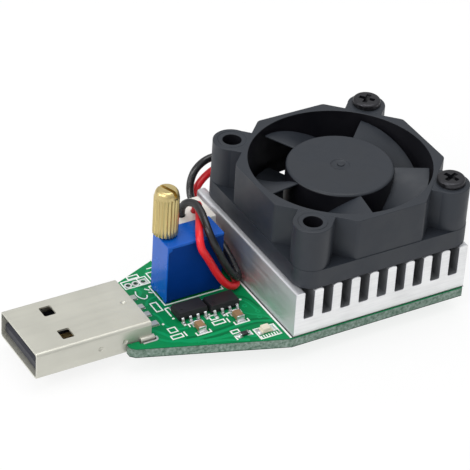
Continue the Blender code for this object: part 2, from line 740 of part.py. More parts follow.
def cable_way():
    turn = math.radians(CABLE_STRUT_ANGLE)
    return Vector((math.cos(turn), math.sin(turn), 0)), Vector((math.sin(turn), -math.cos(turn), 0))


def make_fan_frame(black):
    flange = prism(rounded_rectangle(FAN_SIZE, FAN_SIZE, FAN_HOLE_INSET, 6), 0, FLANGE_HEIGHT)
    frame = make_object("fan_frame", flange, black, fan_place())
    side = FAN_SIZE / 2 - DUCT_INSET
    end = (FAN_BORE_RADIUS + DUCT_CORNER_WALL) * math.sqrt(2) - side
    octagon = [
        (side, -end), (side, end), (end, side), (-end, side), (-side, end), (-side, -end), (-end, -side),
        (end, -side),
    ]
    joined = [make_object("tool", prism(octagon, DUCT_FROM, FAN_HEIGHT), at=fan_place())]
    for x, y in fan_corners():
        joined.append(post(FAN_HOLE_INSET - SEAT, POST_FROM, FAN_HEIGHT, fan_place(x, y), ROUND))
    join(frame, joined)
    cutters = [post(FAN_BORE_RADIUS, -OVERCUT, FAN_HEIGHT + OVERCUT, fan_place(), FINE)]
    for x, y in fan_corners():
        cutters.append(post(POST_HOLE_RADIUS, -OVERCUT, FAN_HEIGHT + OVERCUT, fan_place(x, y), ROUND))
    cut(frame, cutters)
    return frame


def make_motor_base(frame):
    """The round floor and bearing tube, held in the bore by four struts"""
    tube_inner = SHAFT_RADIUS + SLIP / 2 + BEARING_WALL + SEAT
    profile = [
        (0, 0), (HUB_RADIUS, 0), (HUB_RADIUS, MOTOR_BASE_HEIGHT),
        (BEARING_TUBE_OUTER, MOTOR_BASE_HEIGHT), (BEARING_TUBE_OUTER, BEARING_TUBE_TOP),
        (tube_inner, BEARING_TUBE_TOP), (tube_inner, MOTOR_FLOOR), (0, MOTOR_FLOOR),
    ]
    base = make_object("tool", lathe(profile, FINE), at=fan_place())
    inner = HUB_RADIUS - BITE
    outer = FAN_BORE_RADIUS + BITE
    bars = []
    for number in range(STRUT_COUNT):
        turn = math.radians(CABLE_STRUT_ANGLE) + math.tau * number / STRUT_COUNT
        wide = CABLE_STRUT_WIDTH if number == 0 else STRUT_WIDTH
        high = CABLE_STRUT_HEIGHT if number == 0 else STRUT_HEIGHT
        lift = SEAT if number == 0 else 2 * SEAT
        middle = (inner + outer) / 2
        at = fan_place(middle * math.cos(turn), middle * math.sin(turn), lift + high / 2)
        bars.append(block((outer - inner, wide, high), at, (0, 0, turn)))
    join(base, bars)
    join(frame, [base])
    ahead, _ = cable_way()
    start = HUB_RADIUS - CABLE_CHANNEL_INSIDE_HUB
    reach = FAN_SIZE - start
    middle = ahead * (start + reach / 2)
    at = fan_place(middle.x, middle.y, CABLE_CHANNEL_HEIGHT / 2 - OVERCUT)
    size = (reach, CABLE_CHANNEL_WIDTH, CABLE_CHANNEL_HEIGHT + 2 * OVERCUT)
    channel = block(size, at, (0, 0, math.radians(CABLE_STRUT_ANGLE)))
    return cut(frame, [channel])


# Rotor

def blade(start_angle):
    """One twisted blade: its top edge leads, and it drops as it runs round the hub"""
    bm = bmesh.new()
    root = HUB_RADIUS - HUB_WALL / 2
    tip = FAN_BORE_RADIUS - BLADE_TIP_CLEARANCE
    top = FAN_HEIGHT - HUB_BELOW_TOP - BLADE_TOP_DROP
    drop = top - BLADE_FROM

    def middle(chord, span):
        radius = root + (tip - root) * span
        sweep = BLADE_SPAN_ROOT + (BLADE_SPAN_TIP - BLADE_SPAN_ROOT) * span
        turn = math.radians(start_angle - sweep * chord)
        fall = drop * ((1 - BLADE_CAMBER) * chord + BLADE_CAMBER * chord * chord)
        return Vector((radius * math.cos(turn), radius * math.sin(turn), top - fall))

    faces = ([], [])
    nudge = 0.01
    for i in range(BLADE_CHORD_STEPS + 1):
        rows = ([], [])
        for j in range(BLADE_RADIAL_STEPS + 1):
            chord = i / BLADE_CHORD_STEPS
            span = j / BLADE_RADIAL_STEPS
            point = middle(chord, span)
            along = middle(chord + nudge, span) - middle(chord - nudge, span)
            across = middle(chord, span + nudge) - middle(chord, span - nudge)
            normal = along.cross(across).normalized()
            held = min(max(chord, BLADE_EDGE_BLUNT), 1 - BLADE_EDGE_BLUNT)
            thin = BLADE_EDGE_SHARE + (1 - BLADE_EDGE_SHARE) * math.sin(math.pi * held)
            offset = normal * (BLADE_THICKNESS / 2 * thin)
            rows[0].append(bm.verts.new(point + offset))
            rows[1].append(bm.verts.new(point - offset))
        faces[0].append(rows[0])
        faces[1].append(rows[1])
    for grid in faces:
        for i in range(BLADE_CHORD_STEPS):
            for j in range(BLADE_RADIAL_STEPS):
                bm.faces.new((grid[i][j], grid[i + 1][j], grid[i + 1][j + 1], grid[i][j + 1]))
    upper, lower = faces
    for i in range(BLADE_CHORD_STEPS):
        for j in (0, BLADE_RADIAL_STEPS):
            bm.faces.new((upper[i][j], upper[i + 1][j], lower[i + 1][j], lower[i][j]))
    for j in range(BLADE_RADIAL_STEPS):
        for i in (0, BLADE_CHORD_STEPS):
            bm.faces.new((upper[i][j], upper[i][j + 1], lower[i][j + 1], lower[i][j]))
    return make_object("tool", bm, at=fan_place())


def make_rotor(black):
    top = FAN_HEIGHT - HUB_BELOW_TOP
    under = top - HUB_ROOF
    inner = HUB_RADIUS - HUB_WALL
    seat = top - HUB_ROOF - HUB_BOSS_DROP + SHAFT_SEAT_DEPTH
    bore = SHAFT_RADIUS + SEAT
    profile = [
        (0, top - GATE_MARK_DEPTH), (GATE_MARK_RADIUS - GATE_MARK_DEPTH, top - GATE_MARK_DEPTH),
        (GATE_MARK_RADIUS, top), (HUB_RADIUS - HUB_ROUND, top),
        (HUB_RADIUS - HUB_ROUND * (1 - math.sqrt(0.5)), top - HUB_ROUND * (1 - math.sqrt(0.5))),
        (HUB_RADIUS, top - HUB_ROUND), (HUB_RADIUS, HUB_FROM), (inner, HUB_FROM), (inner, under),
        (HUB_BOSS_RADIUS, under), (HUB_BOSS_RADIUS, under - HUB_BOSS_DROP), (bore, under - HUB_BOSS_DROP),
        (bore, seat), (0, seat),
    ]
    rotor = make_object("fan_rotor", lathe(profile, FINE), black, fan_place())
    blades = []
    for number in range(BLADE_COUNT):
        blades.append(blade(BLADE_EDGE_ANGLE + 360.0 * number / BLADE_COUNT))
    return join(rotor, blades)


def ring(name, inner, outer, low, high, material, steps=ROUND):
    profile = [(inner, low), (outer, low), (outer, high), (inner, high)]
    return make_object(name, lathe(profile, steps), material, fan_place())


def make_rotor_ring_parts(steel, ferrite):
    yoke_outer = HUB_RADIUS - HUB_WALL - SEAT
    yoke_inner = yoke_outer - YOKE_WALL
    magnet_outer = yoke_inner - SEAT
    low = HUB_FROM + SEAT
    ring("rotor_yoke", yoke_inner, yoke_outer, low, low + YOKE_HEIGHT, steel)
    magnet_low = low + MAGNET_RISE
    ring("rotor_magnet", magnet_outer - MAGNET_WALL, magnet_outer, magnet_low,
         magnet_low + MAGNET_HEIGHT, ferrite)
    return magnet_outer - MAGNET_WALL


def make_shaft_parts(steel, bronze):
    top = FAN_HEIGHT - HUB_BELOW_TOP - HUB_ROOF - HUB_BOSS_DROP + SHAFT_SEAT_DEPTH - SEAT
    groove = SHAFT_RADIUS - SHAFT_GROOVE_DEPTH
    groove_low = CLIP_HEIGHT - SEAT
    groove_high = CLIP_HEIGHT + CLIP_THICKNESS + SEAT
    profile = [
        (0, SHAFT_FROM), (groove, SHAFT_FROM), (SHAFT_RADIUS, SHAFT_FROM + SHAFT_GROOVE_DEPTH / 2),
        (SHAFT_RADIUS, groove_low), (groove, groove_low), (groove, groove_high),
        (SHAFT_RADIUS, groove_high), (SHAFT_RADIUS, top), (0, top),
    ]
    make_object("fan_shaft", lathe(profile, SMALL), steel, fan_place())
    ring("shaft_clip", groove + SEAT, CLIP_RADIUS, CLIP_HEIGHT, CLIP_HEIGHT + CLIP_THICKNESS, steel, SMALL)
    inner = SHAFT_RADIUS + SLIP / 2
    ring("fan_bearing", inner, inner + BEARING_WALL, BEARING_FROM, BEARING_TUBE_TOP - BEARING_BELOW_TUBE,
         bronze)


def stator_outline(outer):
    """Four T-shaped poles round a ring"""
    hub = BEARING_TUBE_OUTER + SEAT + STATOR_RING_WALL
    neck = STATOR_NECK / 2
    wide = math.radians(STATOR_SHOE_ANGLE)
    back = outer * math.cos(wide) - STATOR_SHOE_END
    arc = 6
    points = []
    for pole in range(STATOR_POLES):
        turn = math.tau * (pole + 0.5) / STATOR_POLES
        foot_out = math.sqrt(hub * hub - neck * neck)
        local = [(foot_out, -neck), (back, -neck), (back, -outer * math.sin(wide))]
        local += [(outer * math.cos(lean), outer * math.sin(lean))
                  for lean in (wide * (2 * step / arc - 1) for step in range(arc + 1))]
        local += [(back, outer * math.sin(wide)), (back, neck), (foot_out, neck)]
        foot = math.asin(neck / hub)
        rest = math.tau / STATOR_POLES - 2 * foot
        local += [(hub * math.cos(foot + rest * k / arc), hub * math.sin(foot + rest * k / arc))
                  for k in range(1, arc)]
        along, aside = math.cos(turn), math.sin(turn)
        points += [(x * along - y * aside, x * aside + y * along) for x, y in local]
    return points, back


def make_stator(magnet_inner, steel, copper):
    outer = magnet_inner - AIR_GAP
    high = STATOR_FROM + STATOR_HEIGHT
    outline, back = stator_outline(outer)
    core = make_object("stator_core", prism(outline, STATOR_FROM, high), steel, fan_place())
    bore = BEARING_TUBE_OUTER + SEAT
    cut(core, [post(bore, STATOR_FROM - OVERCUT, high + OVERCUT, fan_place(), FINE)])
    low_radius = bore + STATOR_RING_WALL + COIL_CLEARANCE
    high_radius = back - COIL_CLEARANCE
    middle = (STATOR_FROM + high) / 2
    inner = rounded_rectangle(STATOR_NECK + 2 * SEAT, STATOR_HEIGHT + 2 * SEAT, SEAT, 1, (0, middle))
    wide = STATOR_NECK + 2 * SEAT + 2 * COIL_BUILD
    tall = STATOR_HEIGHT + 2 * SEAT + 2 * COIL_BUILD
    around = rounded_rectangle(wide, tall, COIL_BUILD / 2, 1, (0, middle))
    for pole in range(STATOR_POLES):
        turn = math.tau * (pole + 0.5) / STATOR_POLES
        bm = prism(around, low_radius, high_radius, "x", inner)
        make_object(f"stator_coil_{pole + 1}", bm, copper, fan_place(), (0, 0, turn))


def make_driver_board(mask):
    low = max(CABLE_CHANNEL_HEIGHT, MOTOR_BASE_HEIGHT) + SEAT
    ring("fan_driver_board", BEARING_TUBE_OUTER + SEAT, HUB_RADIUS - DRIVER_BOARD_MARGIN,
         low, low + DRIVER_BOARD_THICKNESS, mask)


# Screws

def make_screws(black):
    profile = [(SCREW_HEAD_RADIUS * out, SCREW_HEAD_HEIGHT * up) for out, up in SCREW_HEAD_SHAPE]
    profile += [
        (SCREW_HEAD_RADIUS, 0), (SCREW_SHANK_RADIUS, 0), (SCREW_SHANK_RADIUS, -SCREW_LENGTH + SCREW_POINT),
        (SCREW_SHANK_RADIUS / 3, -SCREW_LENGTH), (0, -SCREW_LENGTH),
    ]
    for number, (x, y) in enumerate(screw_places(), start=1):
        at = place(x, y, FAN_Z + FAN_HEIGHT + SEAT)
        screw = make_object(f"fan_screw_{number}", lathe(profile, ROUND), black, at)
        top = Vector((0, 0, SCREW_HEAD_HEIGHT - SCREW_CROSS_DEPTH / 2 + OVERCUT))
        size = (SCREW_CROSS_LENGTH, SCREW_CROSS_WIDTH, SCREW_CROSS_DEPTH + 2 * OVERCUT)
        lean = math.radians(SCREW_CROSS_TURN * number)
        cut(screw, [block(size, at + top, (0, 0, lean)), block(size, at + top, (0, 0, lean + math.pi / 2))])


# Trimmer

SCREW_ROW_Y = TRIMMER_NEAR + TRIMMER_WIDTH / 2
TRIMMER_FOOT = BOARD_THICKNESS + TRIMMER_STANDOFF
TRIMMER_MIDDLE = TRIMMER_FROM + TRIMMER_LENGTH / 2
TRIMMER_CEILING = TRIMMER_TOP - TRIMMER_ROOF
TRIMMER_CAVITY_NEAR = TRIMMER_NEAR + TRIMMER_SIDE_WALL
TRIMMER_CAVITY_FAR = TRIMMER_NEAR + TRIMMER_WIDTH - TRIMMER_SIDE_WALL
TRIMMER_BASE_TOP = TRIMMER_FOOT + SEAT + TRIMMER_BASE_THICKNESS
WHEEL_X = SCREW_AXIS_X + WORM_PITCH_RADIUS + WHEEL_PITCH_RADIUS
WORM_TOP = TRIMMER_CEILING - SEAT - WORM_COLLAR_HEIGHT
WORM_MIDDLE = WORM_TOP - BITE - WORM_TURNS * WORM_PITCH / 2
WHEEL_NEAR = SCREW_AXIS_Y - WHEEL_THICKNESS / 2


def trimmer_pin_places():
    return [TRIMMER_MIDDLE + i * TRIMMER_PIN_PITCH for i in (-1, 0, 1)]


def make_trimmer_housing(blue):
    length = TRIMMER_LENGTH
    centre = place(TRIMMER_MIDDLE, SCREW_ROW_Y, (TRIMMER_FOOT + TRIMMER_TOP) / 2)
    bm = soften(box((length, TRIMMER_WIDTH, TRIMMER_TOP - TRIMMER_FOOT)), TRIMMER_EDGE)
    housing = make_object("trimmer_housing", bm, blue, centre)
    tall = TRIMMER_CEILING - TRIMMER_FOOT + OVERCUT
    inside = (length - 2 * TRIMMER_WALL, TRIMMER_WIDTH - 2 * TRIMMER_SIDE_WALL, tall)
    hollow = block(inside, place(TRIMMER_MIDDLE, SCREW_ROW_Y, TRIMMER_CEILING - tall / 2))
    neck_hole = post(WORM_NECK_RADIUS + SEAT, TRIMMER_CEILING - OVERCUT, TRIMMER_TOP + OVERCUT,
                     place(SCREW_AXIS_X, SCREW_AXIS_Y, 0), ROUND)
    seal_seat = post(WORM_HEAD_RADIUS + SLIP, TRIMMER_TOP - SEAL_SEAT_DEPTH, TRIMMER_TOP + OVERCUT,
                     place(SCREW_AXIS_X, SCREW_AXIS_Y, 0), ROUND)
    axle_hole = post(WHEEL_AXLE_RADIUS + SLIP, -WHEEL_AXLE_LENGTH - 2 * SEAT, OVERCUT,
                     place(WHEEL_X, TRIMMER_CAVITY_FAR, WORM_MIDDLE), ROUND, (math.pi / 2, 0, 0))
    return cut(housing, [hollow, neck_hole, seal_seat, axle_hole])


def make_trimmer_base(black):
    length = TRIMMER_LENGTH - 2 * TRIMMER_WALL - 2 * SEAT
    width = TRIMMER_WIDTH - 2 * TRIMMER_SIDE_WALL - 2 * SEAT
    middle = TRIMMER_FOOT + SEAT + TRIMMER_BASE_THICKNESS / 2
    bm = box((length, width, TRIMMER_BASE_THICKNESS))
    base = make_object("trimmer_base", bm, black, place(TRIMMER_MIDDLE, SCREW_ROW_Y, middle))
    holes = []
    for x in trimmer_pin_places():
        low = TRIMMER_FOOT - OVERCUT
        high = TRIMMER_BASE_TOP + OVERCUT
        holes.append(post(TRIMMER_PIN_RADIUS + SEAT, low, high, place(x, SCREW_ROW_Y, 0)))
    return cut(base, holes)


def make_trimmer_pins(tin):
    for number, x in enumerate(trimmer_pin_places(), start=1):
        high = TRIMMER_BASE_TOP + TRIMMER_PIN_ABOVE_BASE
        bm = prism(circle(TRIMMER_PIN_RADIUS, SMALL), -TRIMMER_PIN_BELOW, high)
        make_object(f"trimmer_pin_{number}", bm, tin, place(x, SCREW_ROW_Y, 0))


def make_knob(brass):
    """Fluted barrel with a smooth rounded crown and a screwdriver slot"""
    bottom = TRIMMER_TOP + KNOB_GAP
    height = KNOB_HEIGHT
    axis = place(SCREW_AXIS_X, SCREW_AXIS_Y, bottom)
    bm = bmesh.new()
    rings = []
    levels = [(0.0, KNOB_RADIUS, 1.0), (height - KNOB_CROWN, KNOB_RADIUS, 1.0)]
    for step in range(KNOB_CROWN_STEPS + 1):
        turn = math.pi / 2 * step / KNOB_CROWN_STEPS
        shrink = KNOB_RADIUS - KNURL_DEPTH - (KNOB_RADIUS - KNOB_CROWN_RADIUS) * (1 - math.cos(turn))
        levels.append((height - KNOB_CROWN * (1 - math.sin(turn)), shrink, 0.0))
    for level, radius, depth in levels:
        points = []
        for i in range(KNURL_COUNT * 2):
            turn = math.pi * i / KNURL_COUNT
            reach = radius - depth * KNURL_DEPTH * (i % 2)
            points.append(bm.verts.new((reach * math.cos(turn), reach * math.sin(turn), level)))
        rings.append(points)
    for lower, upper in zip(rings, rings[1:]):
        for i in range(len(lower)):
            j = (i + 1) % len(lower)
            bm.faces.new((lower[i], lower[j], upper[j], upper[i]))
    bm.faces.new(rings[0])
    bm.faces.new(rings[-1])
    knob = make_object("trimmer_knob", bm, brass, axis)
    bore = post(WORM_HEAD_RADIUS + SEAT, -OVERCUT, KNOB_BORE_DEPTH, axis, ROUND)
    lift = Vector((0, 0, height - KNOB_SLOT_DEPTH / 2 + OVERCUT))
    size = (3 * KNOB_RADIUS, KNOB_SLOT_WIDTH, KNOB_SLOT_DEPTH + 2 * OVERCUT)
    slot = block(size, axis + lift, (0, 0, math.radians(KNOB_SLOT_ANGLE)))
    return cut(knob, [bore, slot])


def helical_thread(tip, root, turns):
    """One rib swept round the worm and sunk a little into the core, with a crest facing the wheel"""
    bm = bmesh.new()
    sections = []
    deep = root - BITE / 2
    height = turns * WORM_PITCH
    for step in range(turns * WORM_STEPS + 1):
        turn = math.tau * (step / WORM_STEPS - turns / 2)
        level = WORM_PITCH * step / WORM_STEPS - height / 2
        out = Vector((math.cos(turn), math.sin(turn), 0))
        section = (
            (deep, -WORM_ROOT_HALF), (tip, -WORM_TIP_HALF), (tip, WORM_TIP_HALF), (deep, WORM_ROOT_HALF),
        )
        sections.append([bm.verts.new(out * r + Vector((0, 0, level + z))) for r, z in section])
    for lower, upper in zip(sections, sections[1:]):
        for i in range(4):
            j = (i + 1) % 4
            bm.faces.new((lower[i], lower[j], upper[j], upper[i]))
    bm.faces.new(sections[0])
    bm.faces.new(sections[-1])
    return bm


def make_worm(brass):
    tip = WORM_PITCH_RADIUS + WORM_ADDENDUM
    root = WORM_PITCH_RADIUS - WORM_ADDENDUM
    head_low = TRIMMER_TOP + SEAT
    profile = [
        (0, head_low + WORM_HEAD_HEIGHT), (WORM_HEAD_RADIUS, head_low + WORM_HEAD_HEIGHT),
        (WORM_HEAD_RADIUS, head_low), (WORM_NECK_RADIUS, head_low),
        (WORM_NECK_RADIUS, TRIMMER_CEILING - SEAT), (WORM_COLLAR_RADIUS, TRIMMER_CEILING - SEAT),
        (WORM_COLLAR_RADIUS, WORM_TOP), (root, WORM_TOP),
        (root, TRIMMER_BASE_TOP + 2 * BITE), (WORM_PIVOT_RADIUS, TRIMMER_BASE_TOP + BITE),
        (WORM_PIVOT_RADIUS, TRIMMER_BASE_TOP + SEAT), (0, TRIMMER_BASE_TOP + SEAT),
    ]
    local = [(radius, height - WORM_MIDDLE) for radius, height in profile]
    axis = place(SCREW_AXIS_X, SCREW_AXIS_Y, WORM_MIDDLE)
    worm = make_object("trimmer_worm", lathe(local, WORM_STEPS), brass, axis)
    thread = make_object("tool", helical_thread(tip, root, WORM_TURNS), at=axis)
    return join(worm, [thread])


def make_seal(rubber):
    low = TRIMMER_TOP - SEAL_SEAT_DEPTH + SEAT
    high = TRIMMER_TOP
    inner = WORM_NECK_RADIUS + SEAT
    outer = WORM_HEAD_RADIUS + SLIP - SEAT
    bm = soften(lathe([(inner, low), (outer, low), (outer, high), (inner, high)], SMALL), SEAL_EDGE, 1)
    make_object("trimmer_seal", bm, rubber, place(SCREW_AXIS_X, SCREW_AXIS_Y, 0))


def wheel_outline():
    """Teeth spaced so that a gap faces the worm"""
    points = []
    tip = WHEEL_PITCH_RADIUS + WHEEL_ADDENDUM
    root = WHEEL_PITCH_RADIUS - WHEEL_DEDENDUM
    for tooth in range(WHEEL_TEETH):
        turn = math.pi + math.tau * (tooth + 0.5) / WHEEL_TEETH
        for radius, lean in ((root, -WHEEL_ROOT_HALF), (tip, -WHEEL_TIP_HALF), (tip, WHEEL_TIP_HALF),
                             (root, WHEEL_ROOT_HALF)):
            at = turn + lean / radius
            points.append((radius * math.cos(at), radius * math.sin(at)))
    return points


def make_wheel(nylon, spring):
    axis = place(WHEEL_X, SCREW_AXIS_Y, WORM_MIDDLE)
    half = WHEEL_THICKNESS / 2
    wheel = make_object("trimmer_wheel", prism(wheel_outline(), -half, half, "y"), nylon, axis)
    far = TRIMMER_CAVITY_FAR - SCREW_AXIS_Y + WHEEL_AXLE_LENGTH
    axle = make_object("tool", prism(circle(WHEEL_AXLE_RADIUS, ROUND), half - BITE, far, "y"), at=axis)
    join(wheel, [axle])
    gap = WHEEL_NEAR - (TRIMMER_CAVITY_NEAR + SEAT + ELEMENT_THICKNESS)
    back = -half - SEAT
    bar = rounded_rectangle(WIPER_LENGTH, WIPER_WIDTH, WIPER_WIDTH / 2)
    wiper = make_object("trimmer_wiper", prism(bar, back - WIPER_THICKNESS, back, "y"), spring, axis)
    feet = []
    for side in (-1, 1):
        centre = (side * (WIPER_LENGTH - WIPER_WIDTH) / 2, 0)
        reach = -half - gap + SEAT
        foot = prism(circle(WIPER_FOOT_RADIUS, SMALL, centre), reach, back - WIPER_THICKNESS / 2, "y")
        feet.append(make_object("tool", foot, at=axis))
    join(wiper, feet)


def make_element(ceramic):
    low = TRIMMER_BASE_TOP + TRIMMER_PIN_ABOVE_BASE + SEAT
    y = TRIMMER_CAVITY_NEAR + SEAT + ELEMENT_THICKNESS / 2
    height = TRIMMER_CEILING - ELEMENT_BELOW_ROOF - low
    at = place(WHEEL_X, y, low + height / 2)
    make_object("trimmer_element", box((ELEMENT_LENGTH, ELEMENT_THICKNESS, height)), ceramic, at)


# Fan connector

def header_pin_places():
    return [HEADER_CENTRE_X + side * HEADER_PITCH / 2 for side in (-1, 1)]


def make_header(nylon, tin):
    middle_y = HEADER_NEAR + HEADER_WIDTH / 2
    low = BOARD_THICKNESS + SEAT
    body = make_object("fan_header", box((HEADER_LENGTH, HEADER_WIDTH, HEADER_HEIGHT)), nylon,
                       place(HEADER_CENTRE_X, middle_y, low + HEADER_HEIGHT / 2))
    tall = HEADER_HEIGHT - HEADER_FLOOR + OVERCUT
    inside = (HEADER_LENGTH - 2 * HEADER_WALL, HEADER_WIDTH - 2 * HEADER_WALL, tall)
    cutters = [block(inside, place(HEADER_CENTRE_X, middle_y, low + HEADER_FLOOR + tall / 2))]
    notch = (HEADER_NOTCH_WIDTH, 2 * HEADER_WALL, HEADER_NOTCH_HEIGHT + OVERCUT)
    for x in header_pin_places():
        at = place(x, HEADER_NEAR + HEADER_WIDTH, low + HEADER_HEIGHT - HEADER_NOTCH_HEIGHT / 2 + OVERCUT)
        cutters.append(block(notch, at))
    hole = HEADER_PIN_SIDE + 2 * SEAT
    for x in header_pin_places():
        size = (hole, hole, HEADER_FLOOR + 2 * OVERCUT)
        cutters.append(block(size, place(x, LEAD_ROW_Y, low + HEADER_FLOOR / 2)))
    cut(body, cutters)
    top = low + HEADER_FLOOR + HEADER_PIN_ABOVE_FLOOR
    for number, x in enumerate(header_pin_places(), start=1):
        size = (HEADER_PIN_SIDE, HEADER_PIN_SIDE, top + HEADER_PIN_BELOW)
        at = place(x, LEAD_ROW_Y, (top - HEADER_PIN_BELOW) / 2)
        make_object(f"header_pin_{number}", box(size), tin, at)


FAN_PLUG_TOP = BOARD_THICKNESS + SEAT + HEADER_HEIGHT + FAN_PLUG_ABOVE_HEADER
FAN_PLUG_LOW = BOARD_THICKNESS + SEAT + HEADER_FLOOR + FAN_PLUG_MARGIN


def make_fan_plug(nylon):
    """The plug's nose sits in the header, and its head covers the header's rim"""
    middle_y = HEADER_NEAR + HEADER_WIDTH / 2
    rim = BOARD_THICKNESS + SEAT + HEADER_HEIGHT + SEAT
    head = soften(box((HEADER_LENGTH, HEADER_WIDTH, FAN_PLUG_TOP - rim)), TRIMMER_EDGE, 1)
    plug = make_object("fan_plug", head, nylon, place(HEADER_CENTRE_X, middle_y, (rim + FAN_PLUG_TOP) / 2))
    slack = 2 * (HEADER_WALL + FAN_PLUG_SLACK)
    nose_top = rim + BITE
    nose = (HEADER_LENGTH - slack, HEADER_WIDTH - slack, nose_top - FAN_PLUG_LOW)
    join(plug, [block(nose, place(HEADER_CENTRE_X, middle_y, (nose_top + FAN_PLUG_LOW) / 2))])
    cutters = []
    socket = HEADER_PIN_SIDE + 2 * SLIP
    for x in header_pin_places():
        size = (socket, socket, FAN_PLUG_SOCKET_HEIGHT + OVERCUT)
        at = place(x, LEAD_ROW_Y, FAN_PLUG_LOW + FAN_PLUG_SOCKET_HEIGHT / 2 - OVERCUT / 2)
        cutters.append(block(size, at))
        low = FAN_PLUG_TOP - FAN_PLUG_LEAD_DEPTH
        cutters.append(post(LEAD_RADIUS + LEAD_HOLE_CLEARANCE, low, FAN_PLUG_TOP + OVERCUT,
                            place(x, LEAD_ROW_Y, 0), ROUND))
    return cut(plug, cutters)


# Leads

def smooth_route(points, step):
    """Points a step apart on a centripetal curve through the route's points"""
    ends = [points[0] * 2 - points[1]] + list(points) + [points[-1] * 2 - points[-2]]
    dense = []
    fine = 16
    for p0, p1, p2, p3 in zip(ends, ends[1:], ends[2:], ends[3:]):
        t1 = math.sqrt((p1 - p0).length)
        t2 = t1 + math.sqrt((p2 - p1).length)
        t3 = t2 + math.sqrt((p3 - p2).length)
        for k in range(fine):
            t = t1 + (t2 - t1) * k / fine
            a1 = p0 * ((t1 - t) / t1) + p1 * (t / t1)
            a2 = p1 * ((t2 - t) / (t2 - t1)) + p2 * ((t - t1) / (t2 - t1))
            a3 = p2 * ((t3 - t) / (t3 - t2)) + p3 * ((t - t2) / (t3 - t2))
            b1 = a1 * ((t2 - t) / t2) + a2 * (t / t2)
            b2 = a2 * ((t3 - t) / (t3 - t1)) + a3 * ((t - t1) / (t3 - t1))
            dense.append(b1 * ((t2 - t) / (t2 - t1)) + b2 * ((t - t1) / (t2 - t1)))
    dense.append(points[-1])
    length = sum((b - a).length for a, b in zip(dense, dense[1:]))
    count = round(length / step)
    spaced = [dense[0]]
    run = 0.0
    for a, b in zip(dense, dense[1:]):
        piece = (b - a).length
        while len(spaced) < count and run + piece >= length * len(spaced) / count:
            spaced.append(a.lerp(b, (length * len(spaced) / count - run) / piece))
        run += piece
    spaced.append(dense[-1])
    return spaced


def make_lead(name, route, pin_x, side, material):
    """A lead from its hole in the plug, by its route, into the channel in the fan frame"""
    bottom = FAN_PLUG_TOP - FAN_PLUG_LEAD_DEPTH + SEAT
    points = [place(pin_x, LEAD_ROW_Y, bottom), place(pin_x, LEAD_ROW_Y, FAN_PLUG_TOP)]
    points += [place(x, y, z) for x, y, z in route]
    ahead, across = cable_way()
    height = LEAD_RADIUS + LEAD_CHANNEL_CLEARANCE
    end = HUB_RADIUS - CABLE_CHANNEL_INSIDE_HUB + LEAD_END_CLEARANCE
    for reach in [share * FAN_SIZE / 2 for share in LEAD_ENTRY_REACHES] + [end]:
        spot = ahead * reach + across * (side * LEAD_SPACING / 2)
        points.append(fan_place(spot.x, spot.y, height))
    curve = bpy.data.curves.new(name, "CURVE")
    curve.dimensions = "3D"
    curve.bevel_depth = LEAD_RADIUS
    curve.bevel_resolution = 2
    curve.use_fill_caps = True
    curve.resolution_u = 1
    curve.render_resolution_u = 0
    spline = curve.splines.new("POLY")
    spaced = smooth_route(points, LEAD_STEP)
    spline.points.add(len(spaced) - 1)
    for target, point in zip(spline.points, spaced):
        target.co = (*point, 1.0)
    curve.materials.append(material)
    obj = bpy.data.objects.new(name, curve)
    bpy.context.collection.objects.link(obj)
    return obj


# Small parts

def behind_plug(offset):
    return PLUG_LENGTH + offset[0], offset[1]


def make_chip(name, spot, material):
    """A chip with four gull-wing leads on each side"""
    x, y = spot
    low = BOARD_THICKNESS + 2 * SEAT
    body = soften(box((CHIP_LENGTH, CHIP_WIDTH, CHIP_HEIGHT)), CHIP_EDGE, 1)
    chip = make_object(name, body, material, place(x, y, low + CHIP_HEIGHT / 2))
    foot = BOARD_THICKNESS + SEAT
    root = CHIP_WIDTH / 2 - BITE
    end = CHIP_LEAD_SPAN / 2
    bend = end - CHIP_LEAD_FOOT
    shoulder = foot + CHIP_SHOULDER
    thick = CHIP_LEAD_THICKNESS
    outline = [
        (root, shoulder), (bend - thick, shoulder), (bend - thick / 2, foot), (end, foot),
        (end, foot + thick), (bend + thick / 2, foot + thick), (bend, shoulder + thick),
        (root, shoulder + thick),
    ]
    leads = []
    for side in (-1, 1):
        points = [(side * a, b) for a, b in outline]
        for number in range(CHIP_LEAD_COUNT):
            along = (number - (CHIP_LEAD_COUNT - 1) / 2) * CHIP_LEAD_PITCH
            bm = prism(points, along - CHIP_LEAD_WIDTH / 2, along + CHIP_LEAD_WIDTH / 2, "x")
            leads.append(make_object("tool", bm, at=place(x, y, 0)))
    return join(chip, leads)


def capped_block(name, spot, size, cap, proud, material, under=False, turn=None):
    """A chip component: a block with slightly fuller end caps, above or under the board"""
    length, width, height = size
    half = length / 2
    outline = [
        (-half, 0), (-half + cap, 0), (-half + cap, proud), (half - cap, proud), (half - cap, 0), (half, 0),
        (half, height), (half - cap, height), (half - cap, height - proud), (-half + cap, height - proud),
        (-half + cap, height), (-half, height),
    ]
    bm = prism(outline, -width / 2, width / 2, "y")
    level = -height - SEAT if under else BOARD_THICKNESS + SEAT
    return make_object(name, bm, material, place(spot[0], spot[1], level), turn)


